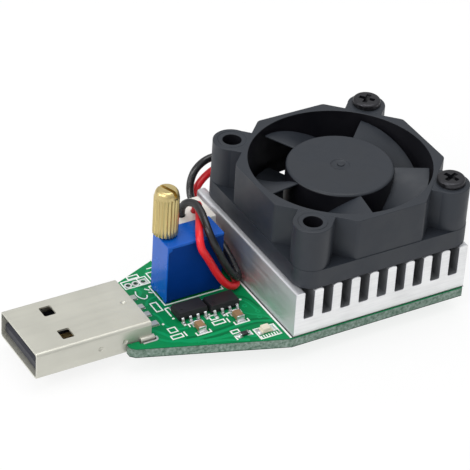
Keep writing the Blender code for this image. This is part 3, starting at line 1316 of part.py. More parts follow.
def make_board_parts(chip_black, ceramic, lamp_white, resistor_black):
    make_chip("amplifier_chip", behind_plug(AMPLIFIER_OFFSET), chip_black)
    make_chip("controller_chip", behind_plug(CONTROLLER_OFFSET), chip_black)
    size = (CAPACITOR_LENGTH, CAPACITOR_WIDTH, CAPACITOR_HEIGHT)
    for number, offset in enumerate(CAPACITOR_OFFSETS, start=1):
        capped_block(f"capacitor_{number}", behind_plug(offset), size, CAPACITOR_CAP, CAPACITOR_CAP_PROUD,
                     ceramic, turn=(0, 0, math.pi / 2))
    size = (RESISTOR_LENGTH, RESISTOR_WIDTH, RESISTOR_HEIGHT)
    capped_block("resistor", behind_plug(RESISTOR_OFFSET), size, RESISTOR_CAP, CAPACITOR_CAP_PROUD,
                 resistor_black)
    size = (SHUNT_LENGTH, SHUNT_WIDTH, SHUNT_HEIGHT)
    capped_block("shunt_resistor", SHUNT_AT, size, SHUNT_CAP, SHUNT_CAP_PROUD, resistor_black, True,
                 (0, 0, math.pi / 2))
    half = LAMP_LENGTH / 2
    dome = half - LAMP_DOME_MARGIN
    outline = [
        (-half, 0), (half, 0), (half, LAMP_FOOT_HEIGHT), (dome, LAMP_FOOT_HEIGHT),
        (dome * LAMP_DOME_TAPER, LAMP_HEIGHT), (-dome * LAMP_DOME_TAPER, LAMP_HEIGHT),
        (-dome, LAMP_FOOT_HEIGHT), (-half, LAMP_FOOT_HEIGHT),
    ]
    bm = prism(outline, -LAMP_WIDTH / 2, LAMP_WIDTH / 2, "y")
    make_object("indicator_lamp", bm, lamp_white, place(*behind_plug(LAMP_OFFSET), BOARD_THICKNESS + SEAT))


# Power transistor under the heat sink, on the board's underside

def make_transistor(black, tin):
    half = TRANSISTOR_BODY_LENGTH / 2
    top = -SEAT
    tab_low = top - TRANSISTOR_TAB_THICKNESS
    body_size = (TRANSISTOR_BODY_LENGTH, TRANSISTOR_BODY_WIDTH, TRANSISTOR_HEIGHT)
    at = place(TRANSISTOR_AT, 0, top - TRANSISTOR_HEIGHT / 2)
    body = make_object("transistor_body", soften(box(body_size), TRANSISTOR_EDGE, 1), black, at)
    inside = TRANSISTOR_TAB_INSIDE
    tab_length = inside + TRANSISTOR_TAB_OUT
    tab_x = TRANSISTOR_AT + half - inside + tab_length / 2
    deep = TRANSISTOR_TAB_THICKNESS + SEAT + OVERCUT
    room = (tab_length + 2 * SEAT, TRANSISTOR_TAB_WIDTH + 2 * SEAT, deep)
    pocket = block(room, place(tab_x, 0, tab_low - SEAT + room[2] / 2))
    lead_out = TRANSISTOR_AT - half - TRANSISTOR_LEAD_OUT
    lead_in = TRANSISTOR_AT - half + BITE
    shoulder = tab_low - TRANSISTOR_TAB_THICKNESS
    thick = TRANSISTOR_TAB_THICKNESS
    heel = lead_out + TRANSISTOR_LEAD_FOOT
    outline = [
        (lead_out, top), (heel, top), (heel + thick, shoulder + thick), (lead_in, shoulder + thick),
        (lead_in, shoulder), (heel, shoulder), (heel - thick, top - thick), (lead_out, top - thick),
    ]
    cutters = [pocket]
    half_width = TRANSISTOR_LEAD_WIDTH / 2
    for side in (-1, 1):
        size = (2 * (BITE + SEAT), TRANSISTOR_LEAD_WIDTH + 2 * SEAT, thick + 2 * SEAT)
        at = place(TRANSISTOR_AT - half, side * TRANSISTOR_LEAD_SIDE, shoulder + thick / 2)
        cutters.append(block(size, at))
    cut(body, cutters)
    plate = box((tab_length, TRANSISTOR_TAB_WIDTH, TRANSISTOR_TAB_THICKNESS))
    make_object("transistor_tab", plate, tin, place(tab_x, 0, tab_low + TRANSISTOR_TAB_THICKNESS / 2))
    for name, side in (("transistor_gate_lead", -1), ("transistor_source_lead", 1)):
        bm = prism(outline, -half_width, half_width, "y")
        make_object(name, bm, tin, place(0, side * TRANSISTOR_LEAD_SIDE, 0))


def build():
    clear_scene()
    mask = plain_material("board_green", (0.0, 0.27, 0.12), 0.45)
    nickel = plain_material("nickel_plate", (0.72, 0.70, 0.66), 0.28, 1.0)
    black_nylon = plain_material("black_nylon", (0.02, 0.02, 0.025), 0.5)
    gold = plain_material("gold_plate", (0.83, 0.62, 0.25), 0.3, 1.0)
    aluminium = plain_material("aluminium", (0.78, 0.79, 0.80), 0.35, 1.0)
    pad = plain_material("pad_grey", (0.45, 0.46, 0.48), 0.8)
    fan_black = plain_material("fan_black", (0.045, 0.045, 0.055), 0.55)
    steel = plain_material("steel", (0.55, 0.56, 0.58), 0.3, 1.0)
    ferrite = plain_material("ferrite", (0.06, 0.055, 0.055), 0.7)
    bronze = plain_material("bronze", (0.55, 0.36, 0.18), 0.4, 1.0)
    copper = plain_material("copper_wire", (0.72, 0.33, 0.16), 0.35, 1.0)
    screw_black = plain_material("screw_black", (0.03, 0.03, 0.035), 0.35, 0.6)
    blue = plain_material("trimmer_blue", (0.01, 0.10, 0.52), 0.3)
    brass = plain_material("brass", (0.80, 0.60, 0.28), 0.28, 1.0)
    rubber = plain_material("seal_rubber", (0.03, 0.03, 0.03), 0.8)
    white_nylon = plain_material("white_nylon", (0.85, 0.83, 0.76), 0.45)
    spring = plain_material("wiper_spring", (0.75, 0.65, 0.45), 0.3, 1.0)
    ceramic = plain_material("element_ceramic", (0.82, 0.80, 0.75), 0.6)
    tin = plain_material("tin_plate", (0.70, 0.71, 0.72), 0.3, 1.0)
    red_wire = plain_material("red_wire", (0.62, 0.01, 0.015), 0.4)
    black_wire = plain_material("black_wire", (0.02, 0.02, 0.022), 0.4)
    chip_black = plain_material("chip_black", (0.03, 0.03, 0.035), 0.5)
    capacitor_brown = plain_material("capacitor_brown", (0.36, 0.22, 0.12), 0.5)
    lamp_white = plain_material("lamp_white", (0.86, 0.82, 0.66), 0.3)
    resistor_black = plain_material("resistor_black", (0.04, 0.04, 0.045), 0.45)

    make_board(mask)
    make_plug_shell(nickel)
    make_plug_insulator(black_nylon)
    make_contacts(gold)
    make_sink(aluminium)
    make_pad(pad)
    make_motor_base(make_fan_frame(fan_black))
    make_rotor(fan_black)
    magnet_inner = make_rotor_ring_parts(steel, ferrite)
    make_shaft_parts(steel, bronze)
    make_stator(magnet_inner, steel, copper)
    make_driver_board(mask)
    make_screws(screw_black)
    make_trimmer_housing(blue)
    make_trimmer_base(black_nylon)
    make_trimmer_pins(tin)
    make_knob(brass)
    make_worm(brass)
    make_seal(rubber)
    make_wheel(white_nylon, spring)
    make_element(ceramic)
    make_header(white_nylon, tin)
    make_fan_plug(white_nylon)
    black_x, red_x = header_pin_places()
    make_lead("lead_black", BLACK_ROUTE, black_x, 1, black_wire)
    make_lead("lead_red", RED_ROUTE, red_x, -1, red_wire)
    make_board_parts(chip_black, capacitor_brown, lamp_white, resistor_black)
    make_transistor(chip_black, tin)


build()
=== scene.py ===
# Looks of the plug-in electronic load: finishes, print, solder, leads and the finer shapes
import math

import bmesh
import bpy
from mathutils import Matrix, Vector


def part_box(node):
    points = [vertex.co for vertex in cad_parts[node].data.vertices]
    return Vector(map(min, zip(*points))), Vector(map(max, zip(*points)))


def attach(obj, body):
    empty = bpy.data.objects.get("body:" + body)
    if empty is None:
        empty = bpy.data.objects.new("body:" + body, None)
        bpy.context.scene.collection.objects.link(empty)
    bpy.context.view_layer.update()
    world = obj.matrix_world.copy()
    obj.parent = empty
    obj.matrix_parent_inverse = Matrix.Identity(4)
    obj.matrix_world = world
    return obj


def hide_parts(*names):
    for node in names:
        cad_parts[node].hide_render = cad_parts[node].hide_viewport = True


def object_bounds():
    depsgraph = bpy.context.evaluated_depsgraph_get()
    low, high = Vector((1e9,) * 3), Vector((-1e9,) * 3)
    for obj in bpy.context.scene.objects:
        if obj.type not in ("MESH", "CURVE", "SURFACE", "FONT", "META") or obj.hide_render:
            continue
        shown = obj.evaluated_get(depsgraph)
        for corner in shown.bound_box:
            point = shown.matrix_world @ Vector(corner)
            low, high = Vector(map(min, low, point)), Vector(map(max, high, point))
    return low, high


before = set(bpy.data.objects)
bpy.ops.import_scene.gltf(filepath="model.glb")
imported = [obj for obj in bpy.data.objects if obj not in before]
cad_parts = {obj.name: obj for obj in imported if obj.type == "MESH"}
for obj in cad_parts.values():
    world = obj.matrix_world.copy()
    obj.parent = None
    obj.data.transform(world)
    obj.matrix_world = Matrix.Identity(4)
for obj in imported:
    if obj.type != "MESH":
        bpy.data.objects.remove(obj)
cadLow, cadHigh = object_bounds()
mm = 0.001
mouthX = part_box("usb_shell")[0].x  # sizes below are in millimetres, from the plug's mouth
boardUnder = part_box("board")[0].z  # and from the board's underside
boardTop = 1.6
seat = 0.05  # a hair's breadth between pieces that lie on each other
aboveAll = 20.0  # how high a cutting tool reaches
closeBy = 0.02  # how far from a wall a face may lie and still belong to it


def spot(x, y, z):
    return Vector((mouthX + x * mm, y * mm, boardUnder + z * mm))


# camera, floor and light

photoView = dict(target=(37.93, 3.66, 8.0), azimuth=-31.6, elevation=35.03, roll=3.74, distance=407.66, lens=206.4,
                 sensor=36, clipFrom=0.01)

studio = dict(
    floorTone=(0.9, 0.9, 0.9),
    floorGlow=0.82,  # how much of the floor is plain white for the camera
    worldTop=0.85,
    worldSide=0.32,
    horizon=(-0.1, 0.9),  # height of the sky over which side changes to top
    floorReach=3.0,
    floorGap=0.0001,
    floorRoughness=0.9,
    lamps=(
        dict(name="keyLamp", at=(-0.54, -0.22, 0.46), size=0.30, power=1.6),
        dict(name="sideLamp", at=(-0.62, 0.20, 0.26), size=0.26, power=0.9),
        dict(name="topLamp", at=(0.10, 0.05, 0.75), size=0.40, power=1.5),
    ),
)


def addCamera(values):
    turn = math.radians(values["azimuth"])
    rise = math.radians(values["elevation"])
    roll = math.radians(values["roll"])
    back = Vector((math.sin(turn) * math.cos(rise), -math.cos(turn) * math.cos(rise), math.sin(rise)))
    right = Vector((math.cos(turn), math.sin(turn), 0))
    up = back.cross(right)
    across = right * math.cos(roll) + up * math.sin(roll)
    upright = up * math.cos(roll) - right * math.sin(roll)
    camera = bpy.data.objects.new("photoCamera", bpy.data.cameras.new("photoCamera"))
    bpy.context.scene.collection.objects.link(camera)
    pose = Matrix((across, upright, back)).transposed().to_4x4()
    pose.translation = spot(*values["target"]) + back * values["distance"] * mm
    camera.matrix_world = pose
    camera.data.lens = values["lens"]
    camera.data.sensor_width = values["sensor"]
    camera.data.clip_start = values["clipFrom"]
    bpy.context.scene.camera = camera


# leads of the fan, in the order in which each runs from its connector

leads = dict(
    diameter=1.2,
    step=0.5,
    roundness=6,
    rowY=7.5,
    holeBottom=9.70,
    plugTop=11.45,
    fanMiddle=(53.42, 0.0),
    channelAngle=115.0,
    channelHeight=10.15,
    channelReach=(16.8, 12.75, 7.2),
    channelSpacing=1.3,
    black=dict(
        pinX=30.5, side=1, node="lead_black", finish="blackLead",
        route=(
            (30.6, 7.35, 13.0), (31.0, 6.5, 14.2), (31.5, 5.0, 14.7), (31.5, 3.2, 14.4), (31.2, 1.3, 13.8),
            (31.05, -0.2, 12.95), (31.35, -1.0, 11.7), (32.0, -1.15, 10.2), (33.1, -1.2, 7.9), (34.2, -1.25, 5.9),
            (35.2, -1.2, 4.5), (36.1, -0.85, 3.6), (36.6, 0.05, 3.55), (36.6, 1.4, 4.4), (36.5, 3.3, 5.5),
            (36.45, 7.0, 6.5), (36.4, 11.0, 7.1), (36.5, 14.0, 7.6), (36.7, 15.6, 8.6), (37.2, 16.5, 10.2),
            (38.2, 16.9, 11.8), (40.0, 17.1, 12.9), (42.2, 17.2, 13.0), (44.4, 17.2, 12.1), (46.0, 16.95, 11.05),
        ),
    ),
    red=dict(
        pinX=33.0, side=-1, node="lead_red", finish="redLead",
        route=(
            (33.0, 7.4, 12.5), (32.8, 6.5, 13.3), (32.2, 5.1, 13.4), (31.4, 3.5, 13.05), (30.5, 1.9, 12.95),
            (29.75, 0.5, 12.9), (29.3, -0.6, 12.3), (29.35, -1.2, 11.1), (30.0, -1.2, 9.9), (30.9, -1.15, 8.3),
            (32.1, -1.2, 6.0), (33.4, -1.4, 4.0), (34.6, -1.4, 2.85), (35.8, -0.9, 2.35), (36.5, 0.4, 2.32),
            (36.7, 3.0, 2.8), (36.65, 8.0, 4.0), (36.6, 12.0, 4.9), (36.85, 14.8, 6.0), (37.6, 16.2, 7.4),
            (38.9, 16.7, 9.2), (40.3, 16.8, 10.4), (41.9, 16.9, 11.0), (43.4, 16.8, 10.8), (44.6, 16.4, 10.45),
        ),
    ),
)


def smoothRoute(points, step, between=24):
    # evenly spaced points on a curve through the route's own points
    ends = [points[0] * 2 - points[1]] + points + [points[-1] * 2 - points[-2]]
    dense = []
    for p0, p1, p2, p3 in zip(ends, ends[1:], ends[2:], ends[3:]):
        t1 = math.sqrt((p1 - p0).length)
        t2 = t1 + math.sqrt((p2 - p1).length)
        t3 = t2 + math.sqrt((p3 - p2).length)
        for k in range(between):
            t = t1 + (t2 - t1) * k / between
            a1 = p0 * ((t1 - t) / t1) + p1 * (t / t1)
            a2 = p1 * ((t2 - t) / (t2 - t1)) + p2 * ((t - t1) / (t2 - t1))
            a3 = p2 * ((t3 - t) / (t3 - t2)) + p3 * ((t - t2) / (t3 - t2))
            b1 = a1 * ((t2 - t) / t2) + a2 * (t / t2)
            b2 = a2 * ((t3 - t) / (t3 - t1)) + a3 * ((t - t1) / (t3 - t1))
            dense.append(b1 * ((t2 - t) / (t2 - t1)) + b2 * ((t - t1) / (t2 - t1)))
    dense.append(points[-1])
    length = sum((b - a).length for a, b in zip(dense, dense[1:]))
    count = round(length / step)
    spaced = [dense[0]]
    run = 0.0
    for a, b in zip(dense, dense[1:]):
        part = (b - a).length
        while len(spaced) < count and run + part >= length * len(spaced) / count:
            spaced.append(a.lerp(b, (length * len(spaced) / count - run) / part))
        run += part
    return spaced + [dense[-1]], length


def addLead(name, values):
    lead = values[name]
    start = (lead["pinX"], values["rowY"], values["holeBottom"])
    points = [Vector(start), Vector((*start[:2], values["plugTop"]))]
    points += [Vector(point) for point in lead["route"]]
    turn = math.radians(values["channelAngle"])
    ahead = Vector((math.cos(turn), math.sin(turn)))
    across = Vector((math.sin(turn), -math.cos(turn))) * lead["side"] * values["channelSpacing"] / 2
    for reach in values["channelReach"]:
        flat = Vector(values["fanMiddle"]) + ahead * reach + across
        points.append(Vector((flat.x, flat.y, values["channelHeight"])))
    spaced, length = smoothRoute(points, values["step"])
    curve = bpy.data.curves.new(name + "Lead", "CURVE")
    curve.dimensions = "3D"
    curve.bevel_depth = values["diameter"] / 2 * mm
    curve.bevel_resolution = values["roundness"]
    curve.use_fill_caps = True
    spline = curve.splines.new("POLY")
    spline.points.add(len(spaced) - 1)
    for target, point in zip(spline.points, spaced):
        target.co = (*spot(*point), 1.0)
    spline.use_smooth = True
    guide = bpy.data.objects.new(name + "Guide", curve)
    piece = bpy.data.objects.new(name + "Lead", bpy.data.meshes.new_from_object(guide))
    bpy.data.objects.remove(guide)
    bpy.context.scene.collection.objects.link(piece)
    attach(piece, "root")
    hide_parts(lead["node"])
    return piece


addCamera(photoView)
leadPieces = {name: addLead(name, leads) for name in ("black", "red")}
print("camera and leads are in place")


def feed(tree, socket, value):
    # a socket takes another node's output, a colour or a number
    if isinstance(value, bpy.types.NodeSocket):
        tree.links.new(value, socket)
    else:
        socket.default_value = (*value, 1) if socket.type == "RGBA" else value


def addNode(tree, kind, inputs=(), **settings):
    node = tree.nodes.new("ShaderNode" + kind)
    for label, value in settings.items():
        setattr(node, label, value)
    for label, value in dict(inputs).items():
        feed(tree, node.inputs[label], value)
    return node


def addFloor(values):
    bm = bmesh.new()
    bmesh.ops.create_grid(bm, x_segments=1, y_segments=1, size=values["floorReach"])
    mesh = bpy.data.meshes.new("floor")
    bm.to_mesh(mesh)
    bm.free()
    floor = bpy.data.objects.new("floor", mesh)
    bpy.context.scene.collection.objects.link(floor)
    floor.location = (0, 0, cadLow.z - values["floorGap"])
    paint = bpy.data.materials.new("floorPaint")
    paint.use_nodes = True
    mesh.materials.append(paint)
    tree = paint.node_tree
    shader = tree.nodes["Principled BSDF"]
    feed(tree, shader.inputs["Base Color"], values["floorTone"])
    feed(tree, shader.inputs["Roughness"], values["floorRoughness"])
    path = addNode(tree, "LightPath").outputs
    glossy = addNode(tree, "Math", {0: path["Is Camera Ray"], 1: path["Is Glossy Ray"]}, operation="ADD")
    seen = addNode(tree, "Math", {0: glossy.outputs[0], 1: path["Is Transmission Ray"]}, operation="ADD",
                   use_clamp=True)  # 1 for rays from the camera and for what mirrors and glass show
    share = addNode(tree, "Math", {0: seen.outputs[0], 1: values["floorGlow"]}, operation="MULTIPLY")
    glow = addNode(tree, "Emission", {"Strength": 1.0})
    above = addNode(tree, "MixShader", {0: share.outputs[0], 1: shader.outputs[0], 2: glow.outputs[0]})
    below = addNode(tree, "BsdfTransparent")
    facing = addNode(tree, "NewGeometry").outputs["Backfacing"]
    oneSided = addNode(tree, "MixShader", {0: facing, 1: above.outputs[0], 2: below.outputs[0]})
    feed(tree, tree.nodes["Material Output"].inputs["Surface"], oneSided.outputs[0])


def addSky(values):
    world = bpy.data.worlds.new("studio")
    bpy.context.scene.world = world
    world.use_nodes = True
    tree = world.node_tree
    split = addNode(tree, "SeparateXYZ", {0: addNode(tree, "TexCoord").outputs["Generated"]})
    low, high = values["horizon"]
    ramp = addNode(tree, "MapRange", {"Value": split.outputs["Z"], "From Min": low, "From Max": high,
                                      "To Min": values["worldSide"], "To Max": values["worldTop"]})
    camera = addNode(tree, "LightPath").outputs["Is Camera Ray"]
    strength = addNode(tree, "Mix", {"Factor": camera, "A": ramp.outputs[0], "B": 1.0})
    feed(tree, tree.nodes["Background"].inputs["Color"], (1, 1, 1))
    feed(tree, tree.nodes["Background"].inputs["Strength"], strength.outputs["Result"])


def addLamps(values):
    middle = (cadLow + cadHigh) / 2
    for lamp in values["lamps"]:
        light = bpy.data.lights.new(lamp["name"], "AREA")
        light.size = lamp["size"]
        light.energy = lamp["power"]
        holder = bpy.data.objects.new(lamp["name"], light)
        bpy.context.scene.collection.objects.link(holder)
        holder.location = middle + Vector(lamp["at"])
        holder.rotation_euler = Vector(lamp["at"]).to_track_quat("Z", "Y").to_euler()


addFloor(studio)
addSky(studio)
addLamps(studio)
bpy.context.scene.view_settings.view_transform = "Standard"
print("floor and lamps are set")


# shared effects

def newGroup(name, inputs, outputs):
    group = bpy.data.node_groups.new(name, "ShaderNodeTree")
    for label, kind, value in inputs:
        group.interface.new_socket(label, in_out="INPUT", socket_type=kind).default_value = value
    for label, kind in outputs:
        group.interface.new_socket(label, in_out="OUTPUT", socket_type=kind)
    return group, group.nodes.new("NodeGroupInput"), group.nodes.new("NodeGroupOutput")


def stretchedNoise(tree, scale, stretch, detail):
    mapping = addNode(tree, "Mapping", {"Vector": addNode(tree, "TexCoord").outputs["Object"], "Scale": stretch})
    return addNode(tree, "TexNoise", {"Vector": mapping.outputs[0], "Scale": scale, "Detail": detail}).outputs[0]


def mapped(tree, mask, low, high, middle=(0.3, 0.7)):
    # a noise's middle part, spread from low to high
    return addNode(tree, "MapRange", {"Value": mask, "From Min": middle[0], "From Max": middle[1],
                                      "To Min": low, "To Max": high}).outputs[0]


def makeMouldedGroup(name):
    # fine spark-eroded grain, and slow patches as on handled plastic
    group, given, put = newGroup(
        name, [("Grain Scale", "NodeSocketFloat", 6000.0), ("Patch Scale", "NodeSocketFloat", 220.0)],
        [("Grain", "NodeSocketFloat"), ("Patch", "NodeSocketFloat")])
    grain = stretchedNoise(group, given.outputs["Grain Scale"], (1, 1, 1), 2.0)
    patch = stretchedNoise(group, given.outputs["Patch Scale"], (1, 1, 1), 3.0)
    feed(group, put.inputs["Grain"], grain)
    feed(group, put.inputs["Patch"], mapped(group, patch, 0.0, 1.0))
    return group


def makeDrawnGroup(name, stretch):
    # lines that drawing, rolling or turning leaves along one direction
    group, given, put = newGroup(
        name, [("Line Scale", "NodeSocketFloat", 3000.0), ("Patch Scale", "NodeSocketFloat", 150.0)],
        [("Lines", "NodeSocketFloat"), ("Patch", "NodeSocketFloat")])
    lines = stretchedNoise(group, given.outputs["Line Scale"], stretch, 3.0)
    patch = stretchedNoise(group, given.outputs["Patch Scale"], (1, 1, 1), 2.0)
    feed(group, put.inputs["Lines"], mapped(group, lines, 0.0, 1.0))
    feed(group, put.inputs["Patch"], mapped(group, patch, 0.0, 1.0))
    return group


groups = dict(
    moulded=makeMouldedGroup("mouldedGrain"),
    drawnX=makeDrawnGroup("drawnAlongX", (0.04, 1, 1)),
    drawnY=makeDrawnGroup("drawnAlongY", (1, 0.04, 1)),
    drawnZ=makeDrawnGroup("drawnAlongZ", (1, 1, 0.04)),
)


def blended(tree, mask, low, high):
    # low where the mask is 0 and high where it is 1, each a colour or a socket
    return addNode(tree, "Mix", {"Factor": mask, "A": low, "B": high}, data_type="RGBA").outputs["Result"]


class Finish:
    # one material under construction, with its shader and links at hand
    def __init__(self, name, colour, roughness, metallic=0.0, specular=0.5):
        self.material = bpy.data.materials.new(name)
        self.material.use_nodes = True
        self.material.diffuse_color = (*colour, 1)
        self.tree = self.material.node_tree
        self.colour = colour
        self.put({"Base Color": colour, "Roughness": roughness, "Metallic": metallic,
                  "Specular IOR Level": specular})

    def put(self, sockets):
        shader = self.tree.nodes["Principled BSDF"]
        for label, value in sockets.items():
            feed(self.tree, shader.inputs[label], value)

    def group(self, key, sockets=()):
        return addNode(self.tree, "Group", sockets, node_tree=groups[key]).outputs

    def tone(self, mask, darker):
        # the finish's colour, and a darker one where the mask is low
        self.put({"Base Color": blended(self.tree, mask, darker, self.colour)})

    def rough(self, mask, low, high):
        self.put({"Roughness": mapped(self.tree, mask, low, high)})

    def bump(self, height, strength, distance):
        node = addNode(self.tree, "Bump", {"Height": height, "Strength": strength, "Distance": distance})
        self.put({"Normal": node.outputs[0]})

    def past(self, output, axis, limit, operation="GREATER_THAN"):
        # 1 where one axis of the surface's place or normal is past a limit
        split = addNode(self.tree, "SeparateXYZ", {0: addNode(self.tree, "NewGeometry").outputs[output]})
        size = split.outputs[axis]
        if output == "True Normal":
            size = addNode(self.tree, "Math", {0: size}, operation="ABSOLUTE").outputs[0]
        return addNode(self.tree, "Math", {0: size, 1: limit}, operation=operation).outputs[0]


def scaled(colour, share):
    return tuple(channel * share for channel in colour)


grainDepth = 0.00002  # in metres, as Blender measures
lineDepth = 0.00001


def plastic(name, colour, roughness, grain=6000.0, bump=0.12, patch=0.85, spread=0.12, metallic=0.0, specular=0.5):
    finish = Finish(name, colour, roughness, metallic, specular)
    skin = finish.group("moulded", {"Grain Scale": grain})
    finish.tone(skin["Patch"], scaled(colour, patch))
    finish.rough(skin["Patch"], roughness * (1 - spread), roughness * (1 + spread))
    finish.bump(skin["Grain"], bump, grainDepth)
    return finish.material


def metal(name, colour, roughness, lines, lineScale=3000.0, bump=0.1, dark=0.86, spread=0.25, metallic=1.0):
    finish = Finish(name, colour, roughness, metallic)
    drawn = finish.group(lines, {"Line Scale": lineScale})
    finish.tone(drawn["Patch"], scaled(colour, dark))
    finish.rough(drawn["Lines"], roughness * (1 - spread), roughness * (1 + spread))
    finish.bump(drawn["Lines"], bump, lineDepth)
    return finish.material


def boardFinish(values):
    # green solder mask over copper on the faces, pale glass fibre on the routed edge
    finish = Finish("solderMask", values["mask"], values["roughness"], specular=values["specular"])
    tree = finish.tree
    skin = finish.group("moulded", {"Grain Scale": values["grain"], "Patch Scale": values["patches"]})
    fibre = finish.group("moulded", {"Patch Scale": values["fibreScale"]})
    edge = blended(tree, fibre["Patch"], values["fibreDark"], values["fibre"])
    # the lowest band of the edge is drawn near-black: painted shade under the board
    under = finish.past("Position", "Z", boardUnder + values["underLine"] * mm, "LESS_THAN")
    over = finish.past("Position", "Z", boardUnder + (boardTop - values["overLine"]) * mm)
    edge = blended(tree, under, edge, values["underShade"])
    edge = blended(tree, over, edge, values["overColour"])
    greens = blended(tree, skin["Patch"], values["maskDark"], values["mask"])
    finish.put({"Base Color": blended(tree, finish.past("True Normal", "Z", 0.5), edge, greens)})
    finish.bump(skin["Grain"], values["bump"], grainDepth)
    return finish.material


def contactFinish(values):
    # gold on the tongue, tin on the tails that are soldered to the board
    finish = Finish("contactPlate", values["gold"], values["roughness"], values["metallic"])
    drawn = finish.group("drawnX")
    gold = blended(finish.tree, drawn["Patch"], values["goldDark"], values["gold"])
    tail = finish.past("Position", "X", mouthX + values["tailFrom"] * mm)
    finish.put({"Base Color": blended(finish.tree, tail, gold, values["tail"])})
    finish.bump(drawn["Lines"], values["bump"], lineDepth)
    return finish.material


boardLooks = dict(
    mask=(0.0, 0.255, 0.08), maskDark=(0.0, 0.18, 0.055),
    fibre=(0.28, 0.36, 0.315), fibreDark=(0.075, 0.14, 0.10),
    # the near-black colour at the bottom of the edge is painted shade
    underLine=0.13, underShade=(0.02, 0.045, 0.03), overLine=0.1, overColour=(0.0, 0.10, 0.045),
    roughness=0.42, specular=0.14, grain=2500.0, patches=130.0, fibreScale=2300.0, bump=0.05,
)

contactLooks = dict(
    gold=(0.86, 0.66, 0.30), goldDark=(0.74, 0.56, 0.26), tail=(0.50, 0.53, 0.50), tailFrom=17.5,
    roughness=0.5, metallic=0.75, bump=0.1,
)


finishes = dict(
    mask=boardFinish(boardLooks),
    trackMask=plastic("maskOverCopper", (0.003, 0.315, 0.11), 0.42, grain=2500.0, bump=0.05, specular=0.14),
    deepMask=plastic("maskOverGlass", (0.0, 0.16, 0.05), 0.42, grain=2500.0, bump=0.05, specular=0.14),
    print=plastic("whitePrint", (0.88, 0.91, 0.88), 0.6, grain=5000.0, bump=0.1, patch=0.92),
    nickel=metal("nickelPlate", (0.62, 0.615, 0.545), 0.42, "drawnX", lineScale=1500.0, bump=0.015, dark=0.9,
                 spread=0.12, metallic=0.6),
    nylonBlack=plastic("plugInsulator", (0.018, 0.020, 0.032), 0.42),
    contact=contactFinish(contactLooks),
    aluminium=metal("drawnAluminium", (0.79, 0.80, 0.83), 0.58, "drawnY", lineScale=2200.0, bump=0.01,
                    dark=0.92, spread=0.06),
    sawn=metal("sawnAluminium", (0.93, 0.935, 0.94), 0.62, "drawnX", lineScale=5200.0, bump=0.3, dark=0.9, spread=0.2),
    # darker aluminium on the walls between the fins: painted shade in the slots
    slotShade=metal("slotShade", (0.34, 0.35, 0.37), 0.6, "drawnY", lineScale=2200.0, bump=0.01, dark=0.85,
                   spread=0.06, metallic=0.8),
    pad=plastic("thermalPad", (0.42, 0.43, 0.45), 0.8),
    fan=plastic("fanPlastic", (0.021, 0.026, 0.035), 0.5, grain=7000.0, specular=0.42),
    # near-black copy of the fan plastic: painted shade in the bore, the post holes, on the hub's sides and in the
    # screws' cross recesses
    bore=plastic("fanBoreShade", (0.007, 0.007, 0.010), 0.4, grain=7000.0, bump=0.05, patch=0.8, specular=0.3),
    steel=metal("steel", (0.55, 0.56, 0.58), 0.3, "drawnZ"),
    ferrite=plastic("ferrite", (0.05, 0.045, 0.045), 0.7),
    bronze=metal("bronze", (0.55, 0.36, 0.18), 0.4, "drawnZ"),
    copper=metal("copperWire", (0.72, 0.33, 0.16), 0.35, "drawnZ", lineScale=9000.0, bump=0.4),
    screw=metal("blackScrew", (0.06, 0.06, 0.066), 0.42, "drawnZ", lineScale=4000.0, bump=0.2),
    blue=plastic("trimmerBlue", (0.003, 0.105, 0.54), 0.25, grain=5000.0, bump=0.04, specular=0.3),
    # the front panel's deeper blue is painted shade: the same plastic as the case, drawn darker where less light falls
    bluePanelShade=plastic("trimmerPanelShade", (0.0, 0.040, 0.25), 0.4, grain=5000.0, bump=0.05, patch=0.8, specular=0.1),
    brass=metal("turnedBrass", (0.73, 0.59, 0.28), 0.38, "drawnZ", lineScale=2600.0, bump=0.06, dark=0.8),
    # black rubber of the trimmer's seal, also used for the painted shadow round the heat sink's foot
    rubberAndShadow=plastic("sealRubberAndShadow", (0.02, 0.02, 0.02), 0.8),
    cream=plastic("creamNylon", (0.88, 0.86, 0.80), 0.42, grain=5000.0, bump=0.06, patch=0.94),
    spring=metal("wiperSpring", (0.75, 0.65, 0.45), 0.3, "drawnX"),
    ceramic=plastic("elementCeramic", (0.80, 0.78, 0.74), 0.6),
    tin=metal("tinPlate", (0.78, 0.79, 0.80), 0.3, "drawnX"),
    solder=plastic("solder", (0.78, 0.79, 0.79), 0.42, grain=3000.0, metallic=0.8),
    padTin=plastic("padTin", (0.56, 0.60, 0.58), 0.5, grain=3000.0, bump=0.1, metallic=0.4),
    redLead=plastic("redInsulation", (0.80, 0.014, 0.024), 0.34, grain=4000.0, bump=0.06),
    blackLead=plastic("blackInsulation", (0.017, 0.017, 0.019), 0.3, grain=4000.0, bump=0.06, patch=0.7),
    chip=plastic("chipResin", (0.017, 0.017, 0.020), 0.5, grain=9000.0, bump=0.2, specular=0.35),
    brown=plastic("capacitorBody", (0.32, 0.19, 0.095), 0.45),
    lamp=plastic("lampResin", (0.80, 0.75, 0.60), 0.25),
    glaze=plastic("resistorGlaze", (0.03, 0.03, 0.033), 0.3),
)
for name, lead in leadPieces.items():
    lead.data.materials.append(finishes[leads[name]["finish"]])
print("finishes are ready:", len(finishes))


# shapes, drawn in millimetres and moved into place at the end

def spreadPoint(axis, a, b, along):
    return {"x": (along, a, b), "y": (a, along, b), "z": (a, b, along)}[axis]


def capped(bm, rings, caps=True):
    # walls from ring to ring, and a face over the first and the last
    for lower, upper in zip(rings, rings[1:]):
        for i in range(len(lower)):
            j = (i + 1) % len(lower)
            bm.faces.new((lower[i], lower[j], upper[j], upper[i]))
    if caps:
        bm.faces.new(rings[0])
        bm.faces.new(rings[-1])
    bmesh.ops.recalc_face_normals(bm, faces=bm.faces)
    return bm


